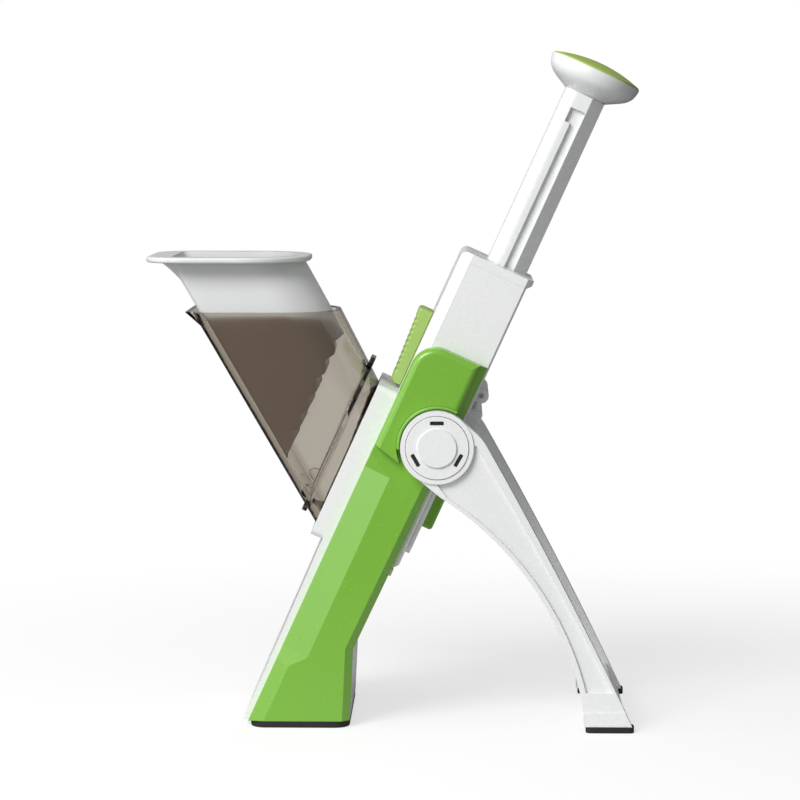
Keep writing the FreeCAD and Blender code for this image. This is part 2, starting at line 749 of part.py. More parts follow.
def biarc(start, leaving, end, arriving):
    """Two arcs that meet smoothly between two points with given unit tangents."""
    way = end - start
    turn = leaving + arriving
    bend = 2 * (1 - leaving.dot(arriving))
    reach = (math.sqrt(way.dot(turn) ** 2 + bend * way.dot(way)) - way.dot(turn)) / bend
    first, last = start + leaving * reach, end - arriving * reach
    middle = (first + last) * 0.5
    return [arc_under(start, first, middle), arc_under(middle, last, end)]


def arc_under(start, corner, end):
    """Arc from start to end whose tangents there meet at the corner."""
    chord = (start + end) * 0.5
    half, tall = (end - start).Length / 2, (corner - chord).Length
    angle = math.atan2(tall, half)
    rise = half * math.tan(angle / 2)
    return Part.Arc(start, chord + (corner - chord).normalize() * rise, end).toShape()


def return_spring(side):
    """Compression spring wound about a guide rod, from its seat to the crosshead."""
    radius, wire = number("spring_radius"), number("wire_radius")
    low = number(SPRING_SEAT) + wire + number("run_gap")
    high = number("crosshead_low") - wire - number("run_gap")
    centre = V(number(GUIDE_X), number(across(side, GUIDE_Y)), 0)
    turns = number("spring_turns")
    steps = int(round(4 * turns))
    sweep = 2 * math.pi * turns / steps
    climb = (high - low) / steps

    def at(step):
        angle = step * sweep
        tangent = V(-radius * sweep * math.sin(angle), radius * sweep * math.cos(angle), climb).normalize()
        return centre + V(radius * math.cos(angle), radius * math.sin(angle), low + step * climb), tangent

    edges = []
    for step in range(steps):
        edges += biarc(*at(step), *at(step + 1))
    path = Part.Wire(edges)
    begin, tangent = at(0)
    section = Part.Wire(Part.Circle(begin, tangent, wire).toShape())
    spring = doc.addObject("Part::Feature", f"{side}_return_spring")
    spring.Label = f"{side}_return_spring"
    spring.Shape = path.makePipeShell([section], True, False)
    place(spring, TOWER)
    pieces[spring.Label] = spring
    print(spring.Label, "gap between turns", round((high - low) / turns - 2 * wire, 2), "mm")


# Press handle and blade carriage

def push_rod():
    """White push rod, hollow from below, with a groove and a square notch down each side."""
    body = new_body("push_rod")
    pad(body, outline(body, "section", "XY", rod_section(), ROD_LOW), f"{ROD_TOP} - ({ROD_LOW})")
    hollow = box_outline((f"{ROD_FRONT} + 2 * rod_wall", "-rod_half + groove_deep + rod_wall"),
                         (f"{ROD_REAR} - 2 * rod_wall", "rod_half - groove_deep - rod_wall"), "rod_wall")
    inside = outline(body, "hollow", "XY", hollow, ROD_LOW)
    pocket(body, inside, f"{ROD_TOP} - ({ROD_LOW}) - rod_spare", along=True)
    for side in (RIGHT, LEFT):
        top = f"{ROD_TOP} - groove_end"
        foot = f"{ROD_LOW} + crosshead_high"
        fore, aft = f"{ROD_AXIS} - groove_front", f"{ROD_AXIS} + groove_rear"
        corner = f"{ROD_AXIS} - notch_front"
        shape = [(fore, foot), (aft, foot), (aft, top), (corner, top), (corner, f"{top} - notch_high"),
                 (fore, f"{top} - notch_high")]
        groove = outline(body, f"groove_{side}", "XZ", shape, side_height(side, "rod_half"))
        pocket(body, groove, "groove_deep", along=side == LEFT)
    pin = circle(body, "pin", "XZ", (ROD_AXIS, PIN_ALONG), "pin_radius + run_gap")
    pocket(body, pin, "4 * rod_half", both=True)


def turned(name, corners):
    """Round piece about the push rod's axis, from a half outline of radius and height."""
    body = new_body(name)
    sketch = outline(body, "half", "XZ", corners, shift=ROD_AXIS)
    feature = body.newObject("PartDesign::Revolution", f"{name}_turn")
    feature.Profile = sketch
    feature.ReferenceAxis = (sketch, ["V_Axis"])
    feature.Angle = 360
    doc.recompute()
    return body


def handle():
    """White mushroom handle, flared from its neck to a straight rim, and its green domed pad."""
    rim = f"{ROD_TOP} + flare_high"
    crown = f"{rim} + rim_high"
    turned("handle_shell", [("0", ROD_TOP), ("neck_radius", ROD_TOP, "-flare_radius"), ("rim_radius", rim),
                            ("cap_radius", crown), ("0", crown)])
    side, rise = "cap_radius - dome_edge", "(dome_high - dome_edge)"
    dome = f"(({side}) * ({side}) + {rise} * {rise}) / (2 * {rise})"
    turned("handle_pad", [("0", crown), (side, crown), (side, f"{crown} + dome_edge", dome),
                          ("0", f"{crown} + dome_high")])


def blade_carriage():
    """White carriage: a crosshead that takes the rod and runs on the guides, two rails and a foot bar."""
    body = new_body("blade_carriage")
    rear = f"{REAR_INSIDE} - slide_gap"
    block = box_outline((FEED_BACK, f"-({CARRIAGE_HALF})"), (rear, CARRIAGE_HALF))
    pad(body, outline(body, "block", "XY", block, "crosshead_low"), "crosshead_high")
    frame = box_outline((f"-({CARRIAGE_HALF})", f"{RAIL_LOW} - rail_foot"), (CARRIAGE_HALF, "crosshead_low"))
    pad(body, outline(body, "frame", "YZ", frame, FEED_BACK), "rail_deep")
    between = f"{CARRIAGE_HALF} - rail_wide"
    hole = box_outline((f"-({between})", RAIL_LOW), (between, "crosshead_low"))
    pocket(body, outline(body, "opening", "YZ", hole, FEED_BACK), "rail_deep", along=True)
    pocket(body, outline(body, "socket", "XY", rod_section("run_gap"), ROD_LOW), "crosshead_high", along=True)
    for side in (RIGHT, LEFT):
        guide = circle(body, f"guide_{side}", "XY", (GUIDE_X, across(side, GUIDE_Y)),
                       "guide_radius + run_gap", "crosshead_low")
        pocket(body, guide, "crosshead_high", along=True)
    pin = circle(body, "pin", "XZ", (ROD_AXIS, PIN_ALONG), "pin_radius + run_gap")
    pocket(body, pin, "2 * pin_half", both=True)
    rod_part("rod_pin", TOWER, "pin_radius", (ROD_AXIS, "-pin_half", PIN_ALONG),
             "2 * pin_half", V(0, 1, 0))


def blade_set():
    """Feed plate above the blade, the slanted steel blade, and the thickness plate below it."""
    plate = new_body("feed_plate")
    lip = f"{FEED_FRONT} + blade_thick"
    shape = [(lip, f"{BLADE_TOP} - blade_lap"), (FEED_BACK, f"{BLADE_TOP} - blade_lap"),
             (FEED_BACK, "sleeve_top - socket_floor"), (FEED_FRONT, "sleeve_top - socket_floor"),
             (FEED_FRONT, BLADE_TOP), (lip, BLADE_TOP)]
    pad(plate, outline(plate, "side", "XZ", shape), f"2 * ({CARRIAGE_HALF})", both=True)
    blade = new_body("slicing_blade")
    edge = [(f"-({CARRIAGE_HALF})", BLADE_LOW), (CARRIAGE_HALF, f"{BLADE_LOW} + blade_slant"),
            (CARRIAGE_HALF, BLADE_TOP), (f"-({CARRIAGE_HALF})", BLADE_TOP)]
    pad(blade, outline(blade, "face", "YZ", edge, FEED_FRONT), "blade_thick")
    back = number(lip)
    dress(blade, "Chamfer", "edge", "blade_bevel",
          lambda edge, at: near(at.x, back) and near(at.z, number(f"{BLADE_LOW} + blade_slant / 2")))
    deck = new_body("thickness_plate")
    half = f"{CARRIAGE_HALF} - rail_wide"
    face = box_outline((f"-({half})", RAIL_LOW), (half, f"{BLADE_LOW} - deck_gap"))
    pad(deck, outline(deck, "face", "YZ", face, DECK_FRONT), "deck_thick")


# Feed chute and food pusher

def floor_at(out):
    """Tower z of the chute's outer floor at a distance out from the mount face."""
    return f"-mouth_bottom + chute_floor_slope * ({out})"


def roof_at(out):
    """Tower z of the chute's outer roof at a distance out from the mount face."""
    return f"mouth_top + chute_roof_slope * ({out})"


def wall_forward(face, start, slope, height):
    """X in the part's frame where a slanted wall, known at a face of the tower, reaches a height."""
    level = f"({height} - hub_height) / cos(lean)"
    x = f"(({start} - {slope} * {face} - {level}) / (tan(lean) + {slope}))"
    z = f"({start} - {slope} * ({face} + {x}))"
    return f"hub_forward + {x} * cos(lean) + {z} * sin(lean)"


def floor_place(start, height):
    """Tower x and z of the chute's floor, from a start at its mouth, at a height over the floor."""
    return in_tower(wall_forward("mouth_face", start, "chute_floor_slope", height), height)


def chute_section(body, name, out, inset_y="0", inset_z="0"):
    """Section of the chute, flat below and arched above, parallel to its mouth."""
    half = f"{CHUTE_HALF} + chute_flare * ({out}) / chute_reach - ({inset_y})"
    corners = barrel_outline(half, f"{floor_at(out)} + {inset_z}", f"{roof_at(out)} - {inset_z}", "chute_round",
                             f"{ROOF_ARCH} - ({inset_y})")
    return outline(body, name, "YZ", corners, f"-mouth_face - ({out})")


def feed_chute():
    """Smoke-clear chute: an arched slanted tube with a level rim and spout, a mount skirt, a bead and tabs."""
    body = new_body("feed_chute")
    loft(body, [chute_section(body, "mouth", "0"), chute_section(body, "far", "chute_reach")])
    near_x, far_x = "-mouth_face - bead_out + bead_wide / 2", "-mouth_face - bead_out - bead_wide / 2"
    under, over = floor_at("bead_out"), roof_at("bead_out")
    bead = barrel_outline(f"{CHUTE_HALF} + bead_proud", f"{under} - bead_proud", f"{over} + bead_proud",
                          "chute_round + bead_proud", f"{ROOF_ARCH} + bead_proud")
    pad(body, outline(body, "bead", "YZ", bead, far_x), "bead_wide")
    tabs = box_outline((far_x, f"{under} - hook_high"), (near_x, f"{over} + tab_high"))
    pad(body, outline(body, "tabs", "XZ", tabs), "2 * tab_half", both=True)
    boss = circle(body, "boss", "XZ", ("-mouth_face - boss_out", "-mouth_bottom + boss_up"), "boss_radius")
    pad(body, boss, f"2 * ({CHUTE_HALF} + boss_proud)", both=True)
    skirt = box_outline((f"-({CHUTE_HALF})", "-mouth_bottom"), (CHUTE_HALF, "mouth_top"), "chute_round")
    pad(body, outline(body, "skirt", "YZ", skirt, "-mouth_face"), "skirt_depth")
    far = "-mouth_face - 2 * chute_reach"
    rim = [(far, tower_z_at(far, CHUTE_RIM)), ("0", tower_z_at("0", CHUTE_RIM)), ("0", "2 * chute_reach"),
           (far, "2 * chute_reach")]
    pocket(body, outline(body, "rim", "XZ", rim), "4 * core_half", both=True)
    foot = f"{CHUTE_RIM} - spout_high"
    edge = f"{wall_forward('mouth_face', '-mouth_bottom', 'chute_floor_slope', CHUTE_RIM)} - spout_out"
    sunk = "-mouth_bottom + chute_wall / 2"
    spout = [in_tower(edge, CHUTE_RIM), floor_place(sunk, foot), floor_place(sunk, CHUTE_RIM)]
    spout_half = f"{CHUTE_HALF} - chute_round"
    pad(body, outline(body, "spout", "XZ", spout), f"2 * ({spout_half})", both=True)
    inner = [chute_section(body, "inner_mouth", "0", "chute_wall", WALL_SLANT),
             chute_section(body, "inner_far", "chute_reach", "chute_wall", WALL_SLANT)]
    loft(body, inner, cut=True)
    inside = f"-mouth_bottom + {WALL_SLANT}"
    lip = [in_tower(f"{edge} + chute_wall", CHUTE_RIM), floor_place(inside, foot),
           floor_place(inside, CHUTE_RIM)]
    pocket(body, outline(body, "lip", "XZ", lip), f"2 * ({spout_half} - chute_wall)", both=True)
    clear = f"{CHUTE_HALF} - chute_wall"
    hole = barrel_outline(clear, f"-mouth_bottom + {WALL_SLANT}", f"mouth_top - {WALL_SLANT}", "chute_round",
                          f"{ROOF_ARCH} - chute_wall")
    pocket(body, outline(body, "hole", "YZ", hole, "-mouth_face"), "skirt_depth", along=True)


# The toothed face of the pusher, where it stands now
FACE_OUT = "teeth_face - mouth_face"
PUSHER_LOW = f"{floor_at(FACE_OUT)} + {WALL_SLANT} + pusher_gap"
PUSHER_HIGH = (f"{roof_at(FACE_OUT + ' - pusher_reach')} - {WALL_SLANT} - pusher_gap"
               f" + chute_floor_slope * pusher_reach")
PUSHER_HALF = f"{CHUTE_HALF} - chute_wall - pusher_gap"
PUSHER_ARCH = f"{ROOF_ARCH} - chute_wall - pusher_gap"
FLANGE_HALF = f"{PUSHER_HALF} + flange_side"


def pusher_section(body, name, out, inset):
    """Arched section of the pusher at a distance out from its toothed face."""
    low = f"{PUSHER_LOW} + chute_floor_slope * ({out})"
    high = f"{PUSHER_HIGH} + pusher_roof_slope * ({out})"
    half = f"{PUSHER_HALF} - ({inset})"
    slanted = f"({inset}) * {SLANT}"
    corners = barrel_outline(half, f"{low} + {slanted}", f"{high} - {slanted}", "pusher_round - pusher_wall",
                             f"{PUSHER_ARCH} - ({inset})")
    return outline(body, name, "YZ", corners, f"-teeth_face - ({out})")


def food_pusher():
    """White hollow pusher with a level oval flange and rows of pointed teeth."""
    body = new_body("food_pusher")
    loft(body, [pusher_section(body, "face", "0", "0"), pusher_section(body, "far", "chute_reach", "0")])
    under = f"{FLANGE_TOP} - flange_thick"
    fore = f"{wall_forward('teeth_face', PUSHER_LOW, 'chute_floor_slope', FLANGE_TOP)} - flange_front"
    aft = f"{wall_forward('teeth_face', PUSHER_HIGH, 'pusher_roof_slope', FLANGE_TOP)} + flange_rear"
    level = [in_tower(fore, under), in_tower(aft, under)]
    above = [in_tower(aft, FLANGE_TOP), in_tower(fore, FLANGE_TOP)]
    off = [in_tower(f"{fore} - chute_reach", under), in_tower(f"{aft} + chute_reach", under),
           in_tower(f"{aft} + chute_reach", f"{FLANGE_TOP} + chute_reach"),
           in_tower(f"{fore} - chute_reach", f"{FLANGE_TOP} + chute_reach")]
    pocket(body, outline(body, "level", "XZ", off), "4 * core_half", both=True)
    pad(body, outline(body, "flange", "XZ", level + above), f"2 * ({FLANGE_HALF})", both=True)
    up = V(-math.sin(math.radians(number("lean"))), 0, math.cos(math.radians(number("lean"))))
    ahead = V(up.z, 0, -up.x)
    edge_y = number(FLANGE_HALF)
    middle = number(f"({fore} + {aft}) / 2 - hub_forward")
    dress(body, "Fillet", "front_corners", "flange_round",
          lambda edge, at: runs_along(edge, up) and near(abs(at.y), edge_y) and at.dot(ahead) < middle)
    dress(body, "Fillet", "rear_corners", "flange_rear_round",
          lambda edge, at: runs_along(edge, up) and near(abs(at.y), edge_y) and at.dot(ahead) > middle)
    top, bottom = (number(f"{height} - hub_height") for height in (FLANGE_TOP, under))
    ends = [number(f"{text} - hub_forward")
            for text in (f"{fore} + flange_front / 2", f"{aft} - flange_rear / 2")]
    beside = number(PUSHER_HALF) + SLACK
    dress(body, "Fillet", "rim", "flange_edge",
          lambda edge, at: near(at.dot(up), top) or near(at.dot(up), bottom)
          and (abs(at.y) > beside or not ends[0] < at.dot(ahead) < ends[1]))
    sunk = f"{PUSHER_LOW} + pusher_wall / 2"
    inside, below = f"{under} + flange_thick / 2", f"{under} - gusset_high"
    tip = f"{wall_forward('teeth_face', PUSHER_LOW, 'chute_floor_slope', under)} - gusset_out"
    flare = [in_tower(wall_forward("teeth_face", sunk, "chute_floor_slope", inside), inside),
             (*in_tower(tip, under), "-gusset_round"),
             in_tower(wall_forward("teeth_face", sunk, "chute_floor_slope", below), below)]
    pad(body, outline(body, "flare", "XZ", flare), f"2 * ({PUSHER_HALF} - pusher_round)", both=True)
    inner = [pusher_section(body, "hollow_face", "tooth_deep + pusher_floor", "pusher_wall"),
             pusher_section(body, "hollow_far", "2 * chute_reach", "pusher_wall")]
    loft(body, inner, cut=True)
    teeth(body)


def teeth(body):
    """Cut saw notches down the pusher's face and grooves across them, which leave rows of points."""
    tall = f"({PUSHER_HIGH} - ({PUSHER_LOW}))"
    pitch = f"{tall} / tooth_rows"
    base = PUSHER_LOW
    point = f"{base} + {pitch} * (1 - tooth_flat)"
    ahead = "-teeth_face + cut_over"
    notch = [("-teeth_face - tooth_deep", f"{base} + {pitch} / 2"), ("-teeth_face", f"{base} - slide_gap"),
             (ahead, f"{base} - slide_gap"), (ahead, point), ("-teeth_face", point)]
    cut = pocket(body, outline(body, "notch", "XZ", notch), "4 * core_half", both=True)
    repeat(body, cut, "Z", f"{tall} - {pitch}", "tooth_rows")
    column = f"2 * ({PUSHER_HALF}) / tooth_columns"
    first = f"-({PUSHER_HALF}) + {column}"
    groove = [("-teeth_face - tooth_deep", first), ("-teeth_face", f"{first} - column_gap / 2"),
              (ahead, f"{first} - column_gap / 2"), (ahead, f"{first} + column_gap / 2"),
              ("-teeth_face", f"{first} + column_gap / 2")]
    cut = pocket(body, outline(body, "groove", "XY", groove), "4 * mouth_bottom", both=True)
    repeat(body, cut, "Y", f"{column} * (tooth_columns - 2)", "tooth_columns - 1")


# Chute latch, rear door and door latch

def chute_latch():
    """Green slider on the front panel: a wedge-shaped ridged grip on a keyed foot."""
    body = new_body("chute_latch")
    foot = f"{FRONT} - slide_gap"
    grip = [(f"{foot} - latch_bottom", LATCH_LOW), (foot, LATCH_LOW), (foot, f"{LATCH_LOW} + latch_long"),
            (f"{foot} - latch_top", f"{LATCH_LOW} + latch_long")]
    pad(body, outline(body, "grip", "XZ", grip), "2 * latch_half", both=True)
    dress(body, "Fillet", "round", "latch_round", lambda edge, at: at.x < number(foot) - SLACK)
    low, high = f"{LATCH_LOW} + latch_inset", f"{LATCH_LOW} + latch_long - latch_inset"
    neck = box_outline(("-latch_neck_half", low), ("latch_neck_half", high))
    pad(body, outline(body, "neck", "YZ", neck, foot), "latch_lip + 2 * slide_gap + latch_key_thick")
    key = box_outline(("-latch_key_half", low), ("latch_key_half", high))
    pad(body, outline(body, "key", "YZ", key, f"{FRONT} + latch_lip + slide_gap"), "latch_key_thick")
    start = f"{LATCH_LOW} + latch_inset"
    reach = f"{foot} - latch_bottom + ridge_deep"
    groove = [(f"{foot} - latch_top - cut_over", start), (reach, start), (reach, f"{start} + ridge_pitch / 2"),
              (f"{foot} - latch_top - cut_over", f"{start} + ridge_pitch / 2")]
    cut = pocket(body, outline(body, "ridge", "XZ", groove), "4 * latch_half", both=True)
    repeat(body, cut, "Z", "ridge_pitch * (ridge_count - 1)", "ridge_count")


def rear_door():
    """White cleaning door on a top hinge, with a raised grip block and a slot for its latch."""
    body = new_body("rear_door")
    panel = box_outline((f"-({DOOR_HALF})", "-door_bottom"), (DOOR_HALF, "door_top - slide_gap"), "door_round")
    pad(body, outline(body, "panel", "YZ", panel, DOOR_IN), "door_thick")
    neck = box_outline((DOOR_IN, "door_top - 2 * door_round"), (DOOR_OUT, "hinge_along"))
    pad(body, outline(body, "neck", "XZ", neck), f"2 * ({KNUCKLE_HALF})", both=True)
    raised = f"{DOOR_OUT} + block_proud"
    block = box_outline((DOOR_IN, "block_low"), (raised, "block_high"))
    pad(body, outline(body, "block", "XZ", block), f"2 * ({DOOR_HALF} - door_round)", both=True)
    proud = number(raised)
    dress(body, "Fillet", "block", "block_round", lambda edge, at: near(at.x, proud))
    knuckle = circle(body, "knuckle", "XZ", (HINGE_X, "hinge_along"), "knuckle_radius")
    pad(body, knuckle, f"2 * ({KNUCKLE_HALF})", both=True)
    pin = circle(body, "pin", "XZ", (HINGE_X, "hinge_along"), "hinge_pin_radius + run_gap")
    pocket(body, pin, "4 * core_half", both=True)
    low, high = "-button_low + button_inset", "-button_low + button_long - button_inset + button_travel"
    slot = box_outline(("-button_neck_half - slide_gap", f"{low} - slide_gap"),
                       ("button_neck_half + slide_gap", f"{high} + slide_gap"))
    pocket(body, outline(body, "slot", "YZ", slot, DOOR_OUT), "door_thick")
    half = f"{KNUCKLE_HALF} + slide_gap + lug_wide"
    rod_part("door_hinge_pin", TOWER, "hinge_pin_radius", (HINGE_X, f"-({half})", "hinge_along"),
             f"2 * ({half})", V(0, 1, 0))


def door_latch():
    """Green slider on the rear door."""
    body = new_body("door_latch")
    foot = f"{DOOR_OUT} + slide_gap"
    grip = box_outline(("-button_half", "-button_low"), ("button_half", "-button_low + button_long"))
    pad(body, outline(body, "grip", "YZ", grip, foot), "button_high")
    dress(body, "Fillet", "round", "button_round", lambda edge, at: at.x > number(foot) + SLACK)
    low, high = "-button_low + button_inset", "-button_low + button_long - button_inset"
    neck = box_outline(("-button_neck_half", low), ("button_neck_half", high))
    reach = "door_thick + 2 * slide_gap + button_key_thick"
    pad(body, outline(body, "neck", "YZ", neck, foot), reach, back=True)
    key = box_outline(("-button_key_half", low), ("button_key_half", high))
    pad(body, outline(body, "key", "YZ", key, f"{DOOR_IN} - slide_gap"), "button_key_thick", back=True)


# Legs

def leg(side):
    """White leg: an arched arm with a dished face and a raised hub ring, on a broad shoe."""
    body = new_body(f"{side}_leg", HUB)
    outwards = side == LEFT
    inner = side_height(side, LEG_IN)
    corner = "hub_radius / sqrt(2)"
    arm = [(f"-({corner})", f"-({corner})"), ("arch_start", "-arch_drop", "-arch_radius"), ("heel", SOLE),
           ("toe", SOLE), ("toe - ankle_in", ANKLE, "back_radius"), ("back_start", "back_rise"),
           (corner, corner)]
    pad(body, outline(body, "arm", "XZ", arm, inner), "leg_thick", back=outwards)
    bend = number("back_start"), number("back_rise")
    dress(body, "Fillet", "bend", "back_round", lambda edge, at: near(at.x, bend[0]) and near(at.z, bend[1]))
    dish = [("0", "-hub_radius"), ("arch_start + leg_rim", "-arch_drop", "-(arch_radius + leg_rim)"),
            ("heel", f"{ANKLE} + leg_rim"), ("toe - ankle_in - leg_rim", f"{ANKLE} + leg_rim", "back_radius"),
            ("back_start - leg_rim", "back_rise - leg_rim"), ("0", "0")]
    pocket(body, outline(body, "dish", "XZ", dish, side_height(side, LEG_OUT)), "leg_dish", along=outwards)
    ring = circle(body, "ring", "XZ", ("0", "0"), "hub_radius", inner)
    pad(body, ring, "leg_thick + hub_proud", back=outwards)
    shoe = [("heel - shoe_proud", SOLE), ("toe", SOLE),
            ("toe - ankle_in * shoe_high / ankle_rise", f"{SOLE} + shoe_high"),
            ("heel - shoe_proud", f"{SOLE} + shoe_high")]
    pad(body, outline(body, "shoe", "XZ", shoe, inner), "leg_thick + hub_proud", back=outwards)
    seat = circle(body, "seat", "XZ", ("0", "0"), f"{CAP_RADIUS} + slide_gap", side_height(side, HUB_OUT))
    pocket(body, seat, "cap_seat", along=outwards)
    bore = circle(body, "bore", "XZ", ("0", "0"), "pivot_radius + run_gap", side_height(side, HUB_OUT))
    pocket(body, bore, "leg_thick + hub_proud", along=outwards)


def hub_and_foot(side):
    """Leg pivot, its slotted cap and the foot's rubber pad."""
    inner = across(side, "core_half")
    way = V(0, -1, 0) if side == RIGHT else V(0, 1, 0)
    rod_part(f"{side}_leg_pivot", HUB, "pivot_radius", ("0", inner, "0"), f"{CAP_IN} - core_half", way)
    outwards = side == LEFT
    cap = new_body(f"{side}_hub_cap", HUB)
    seat = side_height(side, CAP_IN)
    pad(cap, circle(cap, "disc", "XZ", ("0", "0"), CAP_RADIUS, seat), "hub_cap_thick", back=outwards)
    face = side_height(side, f"{CAP_IN} + hub_cap_thick")
    pad(cap, circle(cap, "boss", "XZ", ("0", "0"), "hub_boss_radius", face), "hub_boss_high", back=outwards)
    slot = box_outline(("-slot_half", "slot_radius - slot_wide / 2"),
                       ("slot_half", "slot_radius + slot_wide / 2"), "slot_round")
    cut = pocket(cap, outline(cap, "slot", "XZ", slot, face), "slot_deep", along=outwards)
    ring = cap.newObject("PartDesign::PolarPattern", f"{side}_hub_slots")
    ring.Originals = [cut]
    line = next(item for item in cap.Origin.OriginFeatures if item.Role == "Y_Axis")
    ring.Axis = (line, [""])
    ring.Angle = 360
    ring.setExpression("Occurrences", bound("slot_count"))
    cap.Tip = ring
    doc.recompute()
    foot = new_body(f"{side}_foot_pad", HUB)
    near_y, far_y = f"{LEG_IN} + slide_gap", f"{HUB_OUT} + slide_gap"
    low_y, high_y = (f"-({far_y})", f"-({near_y})") if side == RIGHT else (near_y, far_y)
    plan = box_outline(("heel", low_y), ("toe + foot_pad_toe", high_y), "foot_pad_round")
    pad(foot, outline(foot, "plan", "XY", plan, "-hub_height"), "foot_pad_thick")


def leg_tie():
    """Foot bar between the legs, so that they fold as one."""
    body = new_body("leg_tie", HUB)
    bar = [("heel + tie_in", SOLE), ("toe - tie_set", SOLE), ("toe - tie_set - ankle_in", ANKLE),
           ("heel + tie_in", ANKLE)]
    pad(body, outline(body, "bar", "XZ", bar), f"2 * ({LEG_IN})", both=True)
    dress(body, "Fillet", "edges", "tie_edge", lambda edge, at: runs_along(edge, V(0, 1, 0)))


def export():
    """Check every object and write each sub-part to its own file."""
    doc.recompute()
    for item in doc.Objects:
        if "Invalid" in item.State or "Error" in item.State:
            raise RuntimeError(f"{item.Name}: {item.State}")
    os.makedirs("parts", exist_ok=True)
    for name, piece in pieces.items():
        shape = piece.Shape
        if shape.isNull() or not shape.isValid() or shape.Volume <= 0:
            raise RuntimeError(f"{name} is not a good solid")
        shape.exportStep(f"parts/{name}.step")
        print(f"{name}: {len(shape.Solids)} solid, {shape.Volume / 1000:.2f} cm3")


tower_core()
front_panel()
for hand in (RIGHT, LEFT):
    side_cover(hand)
sleeve_collar()
base_pad()
guides_and_springs()
push_rod()
handle()
blade_carriage()
blade_set()
feed_chute()
food_pusher()
chute_latch()
rear_door()
door_latch()
for hand in (RIGHT, LEFT):
    leg(hand)
    hub_and_foot(hand)
leg_tie()
export()
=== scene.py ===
# %% [markdown]
# # A press-handle mandoline slicer
# The real tool is a leaning plastic tower. A sprung handle pushes a slanted blade down inside it, a
# smoke-clear chute feeds the food from the left, and two folding legs prop it up on the right. Every solid
# comes from the imported CAD model, so this lesson mostly gives those solids their finish. Only what the
# solids show less well is modelled here: wound springs, black plates of painted shade in the hub slots, a
# rounder handle, lips round the hubs and fine ribs.

import json
import math

import bmesh
import bpy
from mathutils import Matrix, Vector
from mathutils.geometry import interpolate_bezier


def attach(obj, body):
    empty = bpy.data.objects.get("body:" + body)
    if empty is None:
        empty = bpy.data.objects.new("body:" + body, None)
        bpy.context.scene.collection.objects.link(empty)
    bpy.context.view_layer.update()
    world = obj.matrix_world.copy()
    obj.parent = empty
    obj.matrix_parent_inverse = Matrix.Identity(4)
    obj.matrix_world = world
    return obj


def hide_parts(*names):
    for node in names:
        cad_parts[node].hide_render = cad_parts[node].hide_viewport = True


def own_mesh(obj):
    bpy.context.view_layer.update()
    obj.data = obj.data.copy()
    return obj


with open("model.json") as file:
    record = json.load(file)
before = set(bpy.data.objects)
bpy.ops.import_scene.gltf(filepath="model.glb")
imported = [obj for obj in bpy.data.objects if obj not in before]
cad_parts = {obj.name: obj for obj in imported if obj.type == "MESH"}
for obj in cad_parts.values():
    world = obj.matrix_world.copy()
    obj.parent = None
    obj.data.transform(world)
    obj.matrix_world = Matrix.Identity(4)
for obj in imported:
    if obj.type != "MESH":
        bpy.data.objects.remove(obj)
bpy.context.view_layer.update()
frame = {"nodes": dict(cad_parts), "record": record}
nodes = frame["nodes"]
scene = bpy.context.scene

# %% [markdown]
# The tower leans, so a second frame helps: its origin is the leg hub, its x runs to the rear and its z
# runs up along the lean. One matrix takes a place in that frame, in millimetres, to the part's frame in
# metres. The lean and the hub's place repeat the values that the solids were drawn with.

# %% The tower's own frame
LEAN = math.radians(24.5)
HUB = Vector((0.082, 0.0, 0.170))
TOWER = Matrix.Translation(HUB) @ Matrix.Rotation(LEAN, 4, "Y")


def in_tower(x, y, z):
    """Place in the part's frame of a point given in the tower's frame in millimetres."""
    return TOWER @ Vector((x / 1000, y / 1000, z / 1000))


# %% [markdown]
# Colours are written as the sRGB hex values that the eye reads off the real thing, and one function turns
# them into the linear numbers that shaders add up. A second function adds a node: each of its inputs is
# either a plain value or the socket of another node, which is then linked.

# %% Colour and node helpers
WHITE = (1, 1, 1, 1)


def linear(hex_text):
    """sRGB hex to linear RGBA."""
    values = [int(hex_text[i:i + 2], 16) / 255 for i in (1, 3, 5)]
    return tuple(v / 12.92 if v <= 0.04045 else ((v + 0.055) / 1.055) ** 2.4 for v in values) + (1.0,)


def add(tree, kind, settings=None, inputs=None):
    """Add a node with its settings and inputs, which are values or sockets to link from."""
    node = tree.nodes.new(kind)
    for name, value in (settings or {}).items():
        setattr(node, name, value)
    for name, value in (inputs or {}).items():
        if isinstance(value, bpy.types.NodeSocket):
            tree.links.new(value, node.inputs[name])
        else:
            node.inputs[name].default_value = value
    return node


def maths(tree, operation, first, second):
    """Result of one arithmetic step on two values or sockets."""
    return add(tree, "ShaderNodeMath", {"operation": operation}, {0: first, 1: second}).outputs[0]


def spread(tree, value, start, end, low, high, curve="LINEAR"):
    """A value taken from the range start to end to the range low to high, and held at the ends."""
    ends = {"Value": value, "From Min": start, "From Max": end, "To Min": low, "To Max": high}
    return add(tree, "ShaderNodeMapRange", {"interpolation_type": curve}, ends).outputs["Result"]


# %% [markdown]
# The finishes share a few steps. Their patterns are laid out in the object's own space and sized in
# millimetres, so that a grain is as fine on a small piece as on a large one.

# %% Surface helpers
def blank_material(name):
    """New material, its tree, and the socket that gives a place on the object."""
    material = bpy.data.materials.new(name)
    material.use_nodes = True
    tree = material.node_tree
    tree.nodes.clear()
    return material, tree, add(tree, "ShaderNodeTexCoord").outputs["Object"]


def per_mm(size):
    """Texture scale whose features are about this many millimetres across."""
    return 1000 / size


def noise(tree, coords, size, detail):
    """Noise with features about this many millimetres across."""
    inputs = {"Vector": coords, "Scale": per_mm(size), "Detail": detail}
    return add(tree, "ShaderNodeTexNoise", inputs=inputs).outputs["Fac"]


def two_tones(tree, factor, first, second):
    """Colour between two hex tones."""
    inputs = {"Factor": factor, 6: linear(first), 7: linear(second)}
    return add(tree, "ShaderNodeMix", {"data_type": "RGBA"}, inputs).outputs[2]


